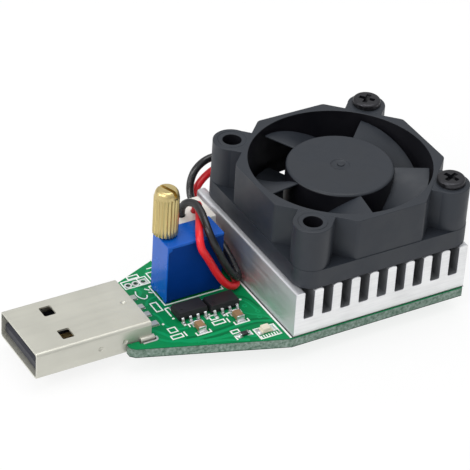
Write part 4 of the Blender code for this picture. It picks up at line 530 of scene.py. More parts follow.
def extruded(outline, low, high, axis="z"):
    bm = bmesh.new()
    return capped(bm, [[bm.verts.new(spreadPoint(axis, a, b, along)) for a, b in outline] for along in (low, high)])


def cuboid(low, high):
    return extruded([(low[0], low[1]), (high[0], low[1]), (high[0], high[1]), (low[0], high[1])], low[2], high[2])


def block(x, y, halfX, halfY, low, high):
    return cuboid((x - halfX, y - halfY, low), (x + halfX, y + halfY, high))


def circlePoints(radius, steps, centre=(0, 0)):
    turns = [math.tau * i / steps for i in range(steps)]
    return [(centre[0] + radius * math.cos(t), centre[1] + radius * math.sin(t)) for t in turns]


def rounding(corner, radius, turns, steps=4):
    # an arc about a corner's centre, from one turn to the next in degrees
    first, last = turns
    arc = [math.radians(first + (last - first) * k / steps) for k in range(steps + 1)]
    return [(corner[0] + radius * math.cos(t), corner[1] + radius * math.sin(t)) for t in arc]


def roundedBox(width, height, radius, steps=6, centre=(0, 0)):
    points = []
    for quarter, (sx, sy) in enumerate(((1, 1), (-1, 1), (-1, -1), (1, -1))):
        corner = (centre[0] + sx * (width / 2 - radius), centre[1] + sy * (height / 2 - radius))
        points += rounding(corner, radius, (90 * quarter, 90 * quarter + 90), steps)
    return points


def turned(profile, steps, at=(0, 0, 0)):
    # points of radius and height turned about an upright axis, closed where they miss it
    bm = bmesh.new()
    rings = []
    for radius, height in profile:
        around = [(0, 0)] if radius < 1e-6 else circlePoints(radius, steps)
        rings.append([bm.verts.new((at[0] + x, at[1] + y, at[2] + height)) for x, y in around])
    pairs = list(zip(rings, rings[1:]))
    if len(rings[0]) > 1:
        pairs.append((rings[-1], rings[0]))
    for lower, upper in pairs:
        for i in range(steps):
            j = (i + 1) % steps
            corners = (lower[i % len(lower)], lower[j % len(lower)], upper[j % len(upper)], upper[i % len(upper)])
            corners = list(dict.fromkeys(corners))
            if len(corners) > 2:
                bm.faces.new(corners)
    bmesh.ops.recalc_face_normals(bm, faces=bm.faces)
    return bm


def softened(bm, width, segments=2, angle=50.0):
    # rounds the edges that bend by more than an angle in degrees
    edges = [e for e in bm.edges if len(e.link_faces) == 2 and e.calc_face_angle() > math.radians(angle)]
    bmesh.ops.bevel(bm, geom=edges, offset=width, segments=segments, profile=0.5, affect="EDGES", clamp_overlap=True)
    return bm


def merged(*parts):
    bm = parts[0]
    for part in parts[1:]:
        mesh = bpy.data.meshes.new("part")
        part.to_mesh(mesh)
        part.free()
        bm.from_mesh(mesh)
        bpy.data.meshes.remove(mesh)
    return bm


def shifted(bm, move, turn=0.0, axis="Z"):
    bm.transform(Matrix.Translation(move) @ Matrix.Rotation(math.radians(turn), 4, axis))
    return bm


def looseObject(bm):
    mesh = bpy.data.meshes.new("loose")
    bm.to_mesh(mesh)
    bm.free()
    loose = bpy.data.objects.new("loose", mesh)
    bpy.context.scene.collection.objects.link(loose)
    return loose


def carved(bm, tools, operation="DIFFERENCE"):
    base = looseObject(bm)
    helpers = [looseObject(tool) for tool in tools]
    for helper in helpers:
        carve = base.modifiers.new("carve", "BOOLEAN")
        carve.operation = operation
        carve.solver = "EXACT"
        carve.object = helper
    bpy.context.view_layer.update()
    result = bmesh.new()
    result.from_object(base, bpy.context.evaluated_depsgraph_get())
    for loose in (base, *helpers):
        mesh = loose.data
        bpy.data.objects.remove(loose, do_unlink=True)
        bpy.data.meshes.remove(mesh)
    return result


def addPiece(name, bm, finish, nodes=(), body="root", sharp=35.0, others=()):
    # others are further finishes, each with a test of a face's normal and middle that picks its faces
    for face in bm.faces:
        face.material_index = 0
        for number, (_, picks) in enumerate(others, start=1):
            if picks(face.normal, face.calc_center_median()):
                face.material_index = number
    bm.transform(Matrix.Translation(spot(0, 0, 0)) @ Matrix.Scale(mm, 4))
    mesh = bpy.data.meshes.new(name)
    bm.to_mesh(mesh)
    bm.free()
    mesh.shade_smooth()
    mesh.set_sharp_from_angle(angle=math.radians(sharp))
    mesh.materials.append(finishes[finish])
    for other, _ in others:
        mesh.materials.append(finishes[other])
    piece = bpy.data.objects.new(name, mesh)
    bpy.context.scene.collection.objects.link(piece)
    even = piece.modifiers.new("evenShading", "WEIGHTED_NORMAL")
    even.keep_sharp = True
    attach(piece, body)
    if nodes:
        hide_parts(*nodes)
    return piece


# plug

plug = dict(
    length=18.75, width=12.0, height=4.5, sheet=0.3, corner=0.6, middle=2.05, rim=0.08,
    windowFrom=5.15, windowLength=1.9, windowWidth=2.25, windowSide=3.02, windowCorner=0.25,
    dimpleRadius=0.55, dimpleDepth=0.2, topDimpleX=17.1, sideDimples=(10.4, 14.4),
    legFrom=16.8, legLength=2.3, legStep=0.4, legDown=-0.6, legInside=0.2, legOutside=0.45, legEdge=0.04,
    seamWidth=0.1, seamDepth=0.12, cornerSteps=8, windowSteps=5,
)


def makePlug(values):
    middle, sheet, length = values["middle"], values["sheet"], values["length"]
    half, tall, past = values["width"] / 2, values["height"] / 2, 1.0
    corner, steps = values["corner"], values["cornerSteps"]
    outer = roundedBox(2 * half, 2 * tall, corner, steps, (0, middle))
    inner = roundedBox(2 * (half - sheet), 2 * (tall - sheet), corner - sheet, steps, (0, middle))
    shell = softened(extruded(outer, 0, length, "x"), values["rim"], 3, angle=60)
    tools = [extruded(inner, -past, length + past, "x")]
    for side in (-1, 1):
        centre = (values["windowFrom"] + values["windowLength"] / 2, side * values["windowSide"])
        window = roundedBox(values["windowLength"], values["windowWidth"], values["windowCorner"],
                            values["windowSteps"], centre)
        tools.append(extruded(window, middle - 2 * tall, middle + 2 * tall))
    seam = values["seamWidth"] / 2  # the sheet's two edges meet along the underside
    tools.append(cuboid((-past, -seam, middle - tall - past),
                        (length + past, seam, middle - tall + values["seamDepth"])))
    reach = values["dimpleRadius"] - values["dimpleDepth"]
    dimples = [(values["topDimpleX"], 0, middle + tall + reach)]
    for x in values["sideDimples"]:
        dimples += [(x, side * (half + reach), middle) for side in (-1, 1)]
    for centre in dimples:
        ball = bmesh.new()
        bmesh.ops.create_icosphere(ball, subdivisions=4, radius=values["dimpleRadius"])
        tools.append(shifted(ball, centre))
    parts = [carved(shell, tools)]
    wall = half - sheet / 2
    out = wall + values["legStep"]
    small, large = values["legInside"], values["legOutside"]
    profile = [(wall, middle - sheet)] + rounding((out - small, middle - sheet - small), small, (90, 0))
    profile += [(out, values["legDown"]), (out + sheet, values["legDown"])]
    profile += rounding((out + sheet - large, middle - large), large, (0, 90)) + [(wall, middle)]
    for side in (-1, 1):
        leg = extruded([(side * y, z) for y, z in profile], values["legFrom"],
                       values["legFrom"] + values["legLength"], "x")
        parts.append(softened(leg, values["legEdge"], angle=60))
    addPiece("plugShell", merged(*parts), "nickel", ("usb_shell",))


makePlug(plug)
print("plug is made")


# heat sink

sink = dict(
    start=37.62, length=30.1, width=30.3, low=1.65, height=7.7, base=2.8, fins=10, slot=1.65, tipSteps=14,
    outerTip=0.6, innerTip=0.95,  # 1 is a round tip, less is a flatter one
    slotRound=0.25, endEdge=0.05, screwRadius=1.25, screwX=65.42, screwY=12.0, screwLow=5.2,
    # the last three set where the slot walls' painted shade begins and ends
    screwSteps=40, wallFrom=1.0, wallDrop=0.4, endWall=0.1,
)


def makeSink(values):
    start, length, low, height = values["start"], values["length"], values["low"], values["height"]
    half, foot, slotRound, last = values["width"] / 2, values["base"], values["slotRound"], values["fins"] - 1
    fin = (length - last * values["slot"]) / values["fins"]
    tip = fin / 2
    outline = [(0.0, 0.0)]
    for number in range(values["fins"]):
        left = number * (fin + values["slot"])
        if number:
            outline += rounding((left - slotRound, foot + slotRound), slotRound, (270, 360), 3)
        shape = values["outerTip"] if number in (0, last) else values["innerTip"]
        for step in range(values["tipSteps"] + 1):
            turn = math.pi * (1 - step / values["tipSteps"])
            across = math.copysign(abs(math.cos(turn)) ** shape, math.cos(turn))
            up = max(math.sin(turn), 0.0) ** shape
            outline.append((left + tip + tip * across, height - tip * (1 - up) / 2))
        if number < last:
            outline += rounding((left + fin + slotRound, foot + slotRound), slotRound, (180, 270), 3)
    outline.append((length, 0.0))
    bm = extruded([(start + x, low + z) for x, z in outline], -half, half, "y")
    rims = [e for e in bm.edges if abs(e.verts[0].co.y - e.verts[1].co.y) < closeBy]
    bmesh.ops.bevel(bm, geom=rims, offset=values["endEdge"], segments=1, affect="EDGES", clamp_overlap=True)
    tools = []
    for side in (-1, 1):
        bite = circlePoints(values["screwRadius"], values["screwSteps"], (values["screwX"], side * values["screwY"]))
        tools.append(extruded(bite, values["screwLow"], low + height + 1))

    # walls inside the slots, which take the painted shade
    def inShadedSlot(normal, centre):
        between = start + values["endWall"] < centre.x < start + length - values["endWall"]
        return abs(normal.y) < 0.5 and between and (
            low + values["wallFrom"] < centre.z < low + height - values["wallDrop"])

    cut = ("sawn", lambda normal, centre: abs(normal.y) > 0.9)
    addPiece("heatSink", carved(bm, tools), "aluminium", ("heatsink",),
             others=[cut, ("slotShade", inShadedSlot)])


makeSink(sink)
print("heat sink is made")


# fan

fan = dict(
    x=53.42, low=9.4, size=30.0, height=10.0,
    inset=3.0, insetSteps=12, flange=3.1, flangeEdge=0.1, holeRadius=1.45, holeEdge=0.12, holeSteps=48,
    # the walls of the bore and of the post holes are drawn near-black, a painted shade
    bore=14.0, boreSteps=96, boreShadeBand=0.3, side=14.9, octagon=5.819, ductLow=1.6, ductCorner=0.35, ductEdge=0.12,
    webFrom=14.45, webTo=16.4, webWidth=5.74, webLow=1.3, webDrop=0.06, webEdge=0.05, webGap=0.3,
    postRadius=2.95, postLow=1.24, postDrop=0.03, postEdge=0.15, postSteps=64,
    ringRadius=2.2, ringWidth=0.16, ringDepth=0.06,  # the groove in a post's top
    baseRadius=8.25, baseHeight=1.2, baseFloor=0.5, tubeOuter=3.0, tubeInner=2.35, tubeTop=7.1,
    struts=4, strutAngle=115.0, strutWidth=2.2, strutHeight=1.3, strutEdge=0.15, strutLap=0.6,
    cableWidth=3.6, cableHeight=1.9, channelFrom=6.6, channelWidth=2.8, channelHeight=1.5,  # the leads' strut
    hub=8.25, hubTop=9.3, hubFrom=2.2, hubWall=0.8, hubRoof=1.0, hubRound=0.5, hubSteps=128,
    gate=1.5, gateDepth=0.15,
    gateCurve=((-0.12, 1.0), (-0.05, 0.7), (0, 0.2), (0.05, 0)),  # way out from the gate, share of its depth
    pip=0.55, pipAt=(0.25, 0.2), pipHeight=0.2, pipSunk=0.06, pipEdge=0.1, pipSteps=32,
    blades=5, bladeAngle=45.0, spanRoot=50.0, spanTip=60.0, bladeDrop=0.4, bladeFrom=2.9, bladeThick=0.7,
    bladeThin=0.3, bladeEdge=0.06, tipClearance=0.5, camber=0.45, chordSteps=24, radialSteps=8,
)


def fanCorners(values):
    half = values["size"] / 2 - values["inset"]
    return [(values["x"] + sx * half, sy * half) for sx, sy in ((-1, -1), (1, -1), (1, 1), (-1, 1))]


def makeFanFrame(values):
    x, low, bore, hole = values["x"], values["low"], values["bore"], values["holeRadius"]
    height = values["height"]
    top = low + height
    corners = fanCorners(values)
    opening = circlePoints(bore, values["boreSteps"], (x, 0))

    def channel():
        bar = cuboid((values["channelFrom"], -values["channelWidth"] / 2, -1),
                     (values["size"], values["channelWidth"] / 2, values["channelHeight"]))
        return shifted(bar, (x, 0, low), values["strutAngle"])

    holes = [extruded(circlePoints(hole, values["holeSteps"], corner), low - 1, top + 1) for corner in corners]
    flange = roundedBox(values["size"], values["size"], values["inset"], values["insetSteps"], (x, 0))
    plate = carved(extruded(flange, low, low + values["flange"]),
                   [extruded(opening, low - 1, top + 1), channel()] + holes)
    side, end = values["side"], values["octagon"]
    octagon = [(side, -end), (side, end), (end, side), (-end, side), (-side, end), (-side, -end), (-end, -side),
               (end, -side)]
    duct = extruded([(x + a, b) for a, b in octagon], low + values["ductLow"], top)
    upright = [e for e in duct.edges if abs(e.verts[0].co.z - e.verts[1].co.z) > 1]
    bmesh.ops.bevel(duct, geom=upright, offset=values["ductCorner"], segments=4, profile=0.5, affect="EDGES")
    duct = carved(duct, [extruded(opening, low - 1, top + 1)])
    parts = [softened(plate, values["flangeEdge"], 2), softened(duct, values["ductEdge"], 3, angle=60)]
    for corner in corners:
        web = cuboid((values["webFrom"], -values["webWidth"] / 2, low + values["webLow"]),
                     (values["webTo"], values["webWidth"] / 2, top - values["webDrop"]))
        turn = math.degrees(math.atan2(corner[1], corner[0] - x))
        web = shifted(softened(web, values["webEdge"], 1), (x, 0, 0), turn)
        bite = circlePoints(hole + values["webGap"], values["holeSteps"], corner)
        parts.append(carved(web, [extruded(bite, low, top + 1)]))
    ring, post, half, deep = values["ringRadius"], values["postRadius"], values["ringWidth"] / 2, values["ringDepth"]
    level, outside, inside = height - values["postDrop"], values["postEdge"], values["holeEdge"]
    profile = [(hole, values["postLow"]), (post, values["postLow"])]
    profile += rounding((post - outside, level - outside), outside, (0, 90), 3)
    profile += [(ring + half, level), (ring + half / 2, level - deep), (ring - half / 2, level - deep),
                (ring - half, level)]
    profile += rounding((hole + inside, level - inside), inside, (90, 180), 3)
    parts += [turned(profile, values["postSteps"], (*corner, low)) for corner in corners]
    base, tube, inner = values["baseRadius"], values["tubeOuter"], values["tubeInner"]
    motor = [(0, 0), (base, 0), (base, values["baseHeight"]), (tube, values["baseHeight"]),
             (tube, values["tubeTop"]), (inner, values["tubeTop"]), (inner, values["baseFloor"]),
             (0, values["baseFloor"])]
    parts.append(carved(turned(motor, values["boreSteps"], (x, 0, low)), [channel()]))
    for number in range(values["struts"]):
        turn = values["strutAngle"] + 360.0 * number / values["struts"]
        wide = values["strutWidth"] if number else values["cableWidth"]
        high = values["strutHeight"] if number else values["cableHeight"]
        bar = cuboid((base - values["strutLap"], -wide / 2, seat), (bore + values["strutLap"] / 2, wide / 2, high))
        bar = shifted(softened(bar, values["strutEdge"], 2), (x, 0, low), turn)
        parts.append(bar if number else carved(bar, [channel()]))

    # faces of the bore's wall and of the post holes, which take the near-black painted shade
    def boreShadeBand(normal, centre):
        inDuct = bore - values["boreShadeBand"] < math.hypot(centre.x - x, centre.y) < bore + closeBy
        inHole = any(math.dist(centre.xy, corner) < hole + closeBy for corner in corners)
        return abs(normal.z) < 0.5 and (inDuct or inHole)

    addPiece("fanHousing", merged(*parts), "fan", ("fan_frame",), others=[("bore", boreShadeBand)])


def makeBlade(values, start):
    # the top edge leads, and the blade drops as it runs round the hub
    bm = bmesh.new()
    root = values["hub"] - values["hubWall"] / 2
    tip = values["bore"] - values["tipClearance"]
    top = values["hubTop"] - values["bladeDrop"]
    drop = top - values["bladeFrom"]
    bit = 0.01  # how far to each side the slope is read

    def middle(chord, span):
        radius = root + (tip - root) * span
        sweep = values["spanRoot"] + (values["spanTip"] - values["spanRoot"]) * span
        turn = math.radians(start - sweep * chord)
        fall = drop * ((1 - values["camber"]) * chord + values["camber"] * chord * chord)
        return Vector((radius * math.cos(turn), radius * math.sin(turn), top - fall))

    upper, lower = [], []
    for i in range(values["chordSteps"] + 1):
        rows = ([], [])
        for j in range(values["radialSteps"] + 1):
            chord = 0.5 - 0.5 * math.cos(math.pi * i / values["chordSteps"])
            span = j / values["radialSteps"]
            point = middle(chord, span)
            along = middle(chord + bit, span) - middle(chord - bit, span)
            across = middle(chord, span + bit) - middle(chord, span - bit)
            normal = along.cross(across).normalized()
            thin = 1 - (1 - values["bladeThin"]) * abs(2 * chord - 1) ** 3
            offset = normal * (values["bladeThick"] / 2 * thin)
            rows[0].append(bm.verts.new(point + offset))
            rows[1].append(bm.verts.new(point - offset))
        upper.append(rows[0])
        lower.append(rows[1])
    for grid in (upper, lower):
        for i in range(values["chordSteps"]):
            for j in range(values["radialSteps"]):
                bm.faces.new((grid[i][j], grid[i + 1][j], grid[i + 1][j + 1], grid[i][j + 1]))
    for i in range(values["chordSteps"]):
        for j in (0, values["radialSteps"]):
            bm.faces.new((upper[i][j], upper[i + 1][j], lower[i + 1][j], lower[i][j]))
    for j in range(values["radialSteps"]):
        for i in (0, values["chordSteps"]):
            bm.faces.new((upper[i][j], upper[i][j + 1], lower[i][j + 1], lower[i][j]))
    bmesh.ops.recalc_face_normals(bm, faces=bm.faces)
    return softened(bm, values["bladeEdge"], angle=60)


def makeRotor(values):
    hub, top, wall = values["hub"], values["hubTop"], values["hubWall"]
    gate, deep, soft = values["gate"], values["gateDepth"], values["hubRound"]
    profile = [(0, top - deep)] + [(gate + out, top - deep * share) for out, share in values["gateCurve"]]
    profile += rounding((hub - soft, top - soft), soft, (90, 0), 8)
    profile += [(hub, values["hubFrom"]), (hub - wall, values["hubFrom"]), (hub - wall, top - values["hubRoof"]),
                (0, top - values["hubRoof"])]
    body = turned(profile, values["hubSteps"])
    wide, edge = values["pip"], values["pipEdge"]  # the moulding mark in the middle of the hub
    profile = [(0, 0), (wide, 0)] + rounding((wide - edge, edge), edge, (0, 90), 3) + [(0, values["pipHeight"])]
    pip = turned(profile, values["pipSteps"], (*values["pipAt"], top - deep - values["pipSunk"]))
    blades = [makeBlade(values, values["bladeAngle"] + 360.0 * k / values["blades"]) for k in range(values["blades"])]
    bm = shifted(merged(body, pip, *blades), (values["x"], 0, values["low"]))

    # the hub's sides take the near-black painted shade
    def onShadedSide(normal, centre):
        return abs(normal.z) < 0.3 and math.hypot(centre.x - values["x"], centre.y) < hub + closeBy

    addPiece("fanImpeller", bm, "fan", ("fan_rotor",), body="rotor", others=[("bore", onShadedSide)])


makeFanFrame(fan)
makeRotor(fan)
print("fan is made")


# fan screws

screw = dict(
    radius=2.15, height=0.95, shank=1.15, length=14.2, pitch=0.8, threadDepth=0.22, lean=20.0, steps=64,
    headFoot=0.06, threadFrom=1.0, threadEnd=1.4, tip=(0.2, 0.8),  # how far inside the shank, and how long
    headCurve=((0.8, 0), (0.87, 0.02), (0.94, 0.09), (0.985, 0.2), (1, 0.34)),  # share of the radius, drop
    cross=2.7, crossWidth=0.72, crossDepth=0.75, crossRim=0.3, crossTaper=(0.86, 0.4), recess=(0.1, 0.05),
)


def makeScrews(values):
    radius, height, shank, length = values["radius"], values["height"], values["shank"], values["length"]
    profile = [(0, height)] + [(radius * share, height - drop) for share, drop in values["headCurve"]]
    profile += [(radius, values["headFoot"]), (radius - values["headFoot"], 0), (shank, 0)]
    level = -values["threadFrom"]
    while level > values["threadEnd"] - length:
        profile += [(shank - values["threadDepth"], level), (shank, level - values["pitch"] / 2)]
        level -= values["pitch"]
    inward, tip = values["tip"]
    profile += [(shank - inward, tip - length), (0, -length)]
    half, wide, deep = values["cross"] / 2, values["crossWidth"] / 2, height - values["crossDepth"]
    rim, foot = (half * share for share in values["crossTaper"])
    over, under = height + values["crossRim"], height - values["crossRim"]
    taper = [(-half, over), (-rim, under), (-foot, deep), (foot, deep), (rim, under), (half, over)]
    for number, corner in enumerate([c for c in fanCorners(fan) if c[0] > fan["x"]], start=1):
        tools = [shifted(extruded(taper, -wide, wide, "y"), (0, 0, 0), values["lean"] * number + extra)
                 for extra in (0, 90)]
        at = (*corner, fan["low"] + fan["height"] + seat)

        # the faces in the cross recess take the near-black painted shade
        def inShadedCross(normal, centre):
            recessed = at[2] + values["recess"][0] < centre.z < at[2] + height - values["recess"][1]
            return recessed and math.dist(centre.xy, corner) < half + closeBy

        bm = shifted(carved(turned(profile, values["steps"]), tools), at)
        addPiece(f"fanScrew{number}", bm, "screw", (f"fan_screw_{number}",),
                 others=[("bore", inShadedCross)])


makeScrews(screw)
print("screws are made")


# trimmer and its knob

trimmer = dict(
    start=24.3, length=9.55, width=4.83, low=2.0, top=12.05, edge=0.15, panelEdge=0.05,
    panelTop=0.45, panelSide=0.18, panelDepth=0.1, panelStep=(0.6, 0.35),
    axis=(25.6, 3.4), sealRadius=1.15, sealDepth=0.6, footSize=0.9, footIn=(0.15, 0.25), footLap=0.3, steps=48,
    knobLow=12.3, knobHeight=7.9, knobRadius=1.95, knobBore=(1.1, 1.5), crown=1.2, crownRadius=1.45, crownSteps=8,
    knobFoot=((0.0, 0.22), (0.06, 0.08), (0.16, 0)),  # height, and how far inside the radius
    knobEdge=((-0.25, 0, 1.0), (-0.1, 0, 0.8), (0, 0.02, 0.35), (0.08, 0.08, 0.0)),  # the same, and share of flute
    knobSteps=6, crownIn=0.1, crownTuck=0.35,
    flutes=22, fluteDepth=0.16, fluteSteps=8, fluteShape=0.8, slotWidth=0.55, slotDepth=0.9, slotAngle=111.0,
)


def makeTrimmer(values):
    start, width, low, top = values["start"], values["width"], values["low"], values["top"]
    end, deep, size = start + values["length"], values["panelDepth"], values["footSize"]
    left, rim = start + values["panelSide"], top - values["panelTop"]
    right, down = values["panelStep"]
    body = softened(cuboid((start, 0, low), (end, width, top)), values["edge"], 3)
    panel = [(left, low - 1), (end + 1, low - 1), (end + 1, rim), (left + right, rim), (left + right, rim - down),
             (left, rim - 2 * down)]
    seal = circlePoints(values["sealRadius"], values["steps"], values["axis"])
    seal = extruded(seal, top - values["sealDepth"], aboveAll)
    body = softened(carved(body, [extruded(panel, -1, deep, "y"), seal]), values["panelEdge"], angle=60)
    sideways, inward = values["footIn"]
    feet = [cuboid((x, y, boardTop), (x + size, y + size, low + values["footLap"]))
            for x in (start + sideways, end - sideways - size) for y in (inward, width - inward - size)]
    # the faces of the front panel take the darker blue, a painted shade of the same plastic
    panelShadeFace = ("bluePanelShade", lambda normal, centre: normal.y < -0.9 and centre.y > deep - closeBy)
    addPiece("trimmerCase", merged(body, *feet), "blue", ("trimmer_housing",), others=[panelShadeFace])


def makeKnob(values):
    radius, height, flutes = values["knobRadius"], values["knobHeight"], values["flutes"]
    straight = height - values["crown"]
    # each level has its height, its radius and its share of the flutes' depth
    levels = [(level, radius - inward, 1.0) for level, inward in values["knobFoot"]]
    levels += [(straight * k / values["knobSteps"], radius, 1.0) for k in range(1, values["knobSteps"])]
    levels += [(straight + level, radius - inward, share) for level, inward, share in values["knobEdge"]]
    foot, crown = levels[-1][0], radius - values["crownIn"]
    for k in range(values["crownSteps"]):
        turn = math.pi / 2 * (k + 1) / values["crownSteps"]
        out = crown - (crown - values["crownRadius"] + values["crownTuck"]) * (1 - math.cos(turn))
        levels.append((foot + (height - foot) * math.sin(turn), out, 0.0))
    turns = [math.tau * i / (flutes * values["fluteSteps"]) for i in range(flutes * values["fluteSteps"])]
    bm = bmesh.new()
    rings = []
    for level, out, share in levels:
        ring = []
        for turn in turns:
            bite = values["fluteDepth"] * share * (0.5 - 0.5 * math.cos(flutes * turn)) ** values["fluteShape"]
            ring.append(bm.verts.new(((out - bite) * math.cos(turn), (out - bite) * math.sin(turn), level)))
        rings.append(ring)
    wide = values["slotWidth"] / 2
    slot = cuboid((-3, -wide, height - values["slotDepth"]), (3, wide, height + 1))
    boreRadius, boreTop = values["knobBore"]
    bore = extruded(circlePoints(boreRadius, values["steps"]), -1, boreTop)
    bm = carved(capped(bm, rings), [shifted(slot, (0, 0, 0), values["slotAngle"]), bore])
    bm = shifted(bm, (*values["axis"], values["knobLow"]))
    addPiece("trimmerKnob", bm, "brass", ("trimmer_knob",), body="adjuster")


makeTrimmer(trimmer)
makeKnob(trimmer)
print("trimmer is made")


# fan connector

header = dict(
    x=31.75, near=5.25, length=7.4, width=5.75, low=1.65, height=7.0, wall=0.7, floor=1.4, edge=0.18,
    pitch=2.5, notchWidth=1.2, notchHeight=3.8, headTop=11.45, headEdge=0.25, leadHole=0.75, leadDepth=1.8,
    noseGap=0.2, noseFloor=0.35, noseHole=0.42, noseHoleTop=8.3, noseTop=0.5, steps=40,
)


def makeHeader(values):
    x, near, far = values["x"], values["near"], values["near"] + values["width"]
    half, wall, rim = values["length"] / 2, values["wall"], values["low"] + values["height"]
    floor, top = values["low"] + values["floor"], values["headTop"]
    body = softened(cuboid((x - half, near, values["low"]), (x + half, far, rim)), values["edge"], 2)
    head = softened(cuboid((x - half, near, rim + seat), (x + half, far, top)), values["headEdge"], 3)
    inside = wall + values["noseGap"]
    nose = cuboid((x - half + inside, near + inside, floor + values["noseFloor"]),
                  (x + half - inside, far - inside, rim + values["noseTop"]))
    bodyTools = [cuboid((x - half + wall, near + wall, floor), (x + half - wall, far - wall, aboveAll))]
    headTools, noseTools = [], []
    wide, hole, row = values["notchWidth"] / 2, values["noseHole"], leads["rowY"]
    for side in (-1, 1):
        pin = x + side * values["pitch"] / 2
        bodyTools.append(cuboid((pin - wide, far - 2 * wall, rim - values["notchHeight"]),
                                (pin + wide, far + 1, aboveAll)))
        leadHole = circlePoints(values["leadHole"], values["steps"], (pin, row))
        headTools.append(extruded(leadHole, top - values["leadDepth"], aboveAll))
        noseTools.append(block(pin, row, hole, hole, floor, values["noseHoleTop"]))
    addPiece("fanHeader", carved(body, bodyTools), "cream", ("fan_header",))
    addPiece("fanPlugHead", merged(carved(head, headTools), carved(nose, noseTools)), "cream", ("fan_plug",))


makeHeader(header)
print("connector is made")


# chips and small parts

chips = dict(
    at=dict(amplifier_chip=(31.7, -3.7), controller_chip=(26.5, -3.3)),
    length=4.9, width=2.8, low=1.7, height=1.4, widest=0.52, drafts=(0.12, 0.0, 0.14), edge=0.05,
    markRadius=0.3, markIn=0.75, markDepth=0.06, markSteps=24,
    legs=4, span=4.6, pitch=1.27, leadWidth=0.4, leadThick=0.16, foot=0.62, shoulder=0.5, bend=0.12, bendOver=0.3,
    legIn=0.3, toe=0.05, bendIn=0.1, slope=10,
)


def legRow(x):
    return [x + (number - (chips["legs"] - 1) / 2) * chips["pitch"] for number in range(chips["legs"])]


def makeChip(node, at, values):
    x, y = at
    half, wide, low = values["length"] / 2, values["width"] / 2, values["low"]
    top = low + values["height"]
    bm = bmesh.new()
    rings = []
    for level, draft in zip((low, low + values["height"] * values["widest"], top), values["drafts"]):
        a, b = half - draft, wide - draft
        rings.append([bm.verts.new((x + sx * a, y + sy * b, level)) for sx, sy in ((-1, -1), (1, -1), (1, 1), (-1, 1))])
    bm = softened(capped(bm, rings), values["edge"], angle=15)
    markAt = (x - half + values["markIn"], y - wide + values["markIn"])
    mark = circlePoints(values["markRadius"], values["markSteps"], markAt)
    name = node.split("_")[0]
    bm = carved(bm, [extruded(mark, top - values["markDepth"], aboveAll)])
    addPiece(name + "Body", bm, "chip", (node,))
    thick, arc, over = values["leadThick"], values["bend"], values["bendOver"]
    end = values["span"] / 2
    bend = end - values["foot"]
    foot = boardTop + seat
    shoulder = foot + values["shoulder"]
    root, toe, slope = wide - values["legIn"], values["toe"], values["slope"]
    profile = [(root, shoulder)] + rounding((bend - thick - arc, shoulder - arc), arc, (90, slope), 3)
    profile += [(bend - thick / 2, foot + toe), (bend - thick / 2 + toe, foot), (end, foot), (end, foot + thick)]
    profile += [(bend + thick / 2 + toe, foot + thick)]
    profile += rounding((bend - thick - values["bendIn"], shoulder - arc), over, (slope, 90), 3)
    profile += [(root, shoulder + thick)]
    pins = []
    for side in (-1, 1):
        for along in legRow(x):
            pins.append(extruded([(y + side * a, b) for a, b in profile], along - values["leadWidth"] / 2,
                                 along + values["leadWidth"] / 2, "x"))
    addPiece(name + "Pins", merged(*pins), "tin")


for node, at in chips["at"].items():
    makeChip(node, at, chips)

capacitor = dict(size=(1.25, 2.0, 0.9), cap=0.3, finish="brown", slot="capacitor_brown")
smallParts = dict(
    capacitor_1=dict(at=(26.2, -7.2), **capacitor),
    capacitor_2=dict(at=(32.6, -7.3), **capacitor),
    resistor=dict(at=(31.35, -11.45), size=(1.6, 0.8, 0.45), cap=0.3, finish="glaze", slot="resistor_black"),
    shunt_resistor=dict(at=(39.8, 0.0), size=(3.2, 6.3, 0.8), cap=0.6, finish="glaze", slot="resistor_black",
                        under=True),
    shrink=0.04, tuck=0.6, bodyEdge=0.05, capEdge=0.09,
)


def makeSmallPart(node, values):
    # a block between two metal caps, which sit at the ends of its longer side
    part = values[node]
    x, y = part["at"]
    tall, cap = part["size"][2], part["cap"]
    low = -tall - seat if part.get("under") else boardTop + seat
    half = [size / 2 for size in part["size"][:2]]
    axis = half.index(max(half))
    inner = [size - values["shrink"] for size in half]
    inner[axis] = half[axis] - cap * values["tuck"]
    capHalf = list(half)
    capHalf[axis] = cap / 2
    ends = []
    for way in (-1, 1):
        middle = [x, y]
        middle[axis] += way * (half[axis] - cap / 2)
        ends.append(softened(block(*middle, *capHalf, low, low + tall), values["capEdge"], 3))
    body = softened(block(x, y, *inner, low + values["shrink"], low + tall - values["shrink"]), values["bodyEdge"], 2)
    name = node.replace("_", "")
    addPiece(name + "Body", body, part["finish"], (node,))
    addPiece(name + "Ends", merged(*ends), "tin")


for node in ("capacitor_1", "capacitor_2", "resistor", "shunt_resistor"):
    makeSmallPart(node, smallParts)

lamp = dict(at=(34.7, -11.9), length=2.0, width=1.25, foot=0.3, footEdge=0.04, height=0.8, margin=0.3,
            domeTop=0.9, domeEdge=0.12, domeSunk=0.05)


def makeLamp(values):
    x, y = values["at"]
    low = boardTop + seat
    half, wide, foot = values["length"] / 2, values["width"] / 2, values["foot"]
    base = softened(block(x, y, half, wide, low, low + foot), values["footEdge"], 1)
    dome = half - values["margin"]
    top = dome * values["domeTop"]
    sunk, high = low + foot - values["domeSunk"], low + values["height"]
    outline = [(x - dome, sunk), (x + dome, sunk), (x + top, high), (x - top, high)]
    resin = extruded(outline, y - wide + values["footEdge"], y + wide - values["footEdge"], "y")
    resin = softened(resin, values["domeEdge"], 3)
    ends = ("tin", lambda normal, centre: abs(centre.x - x) > dome + closeBy)
    addPiece("lampBody", merged(base, resin), "lamp", ("indicator_lamp",), others=[ends])


makeLamp(lamp)
print("small parts are made")


# print, copper, pads and solder of the board

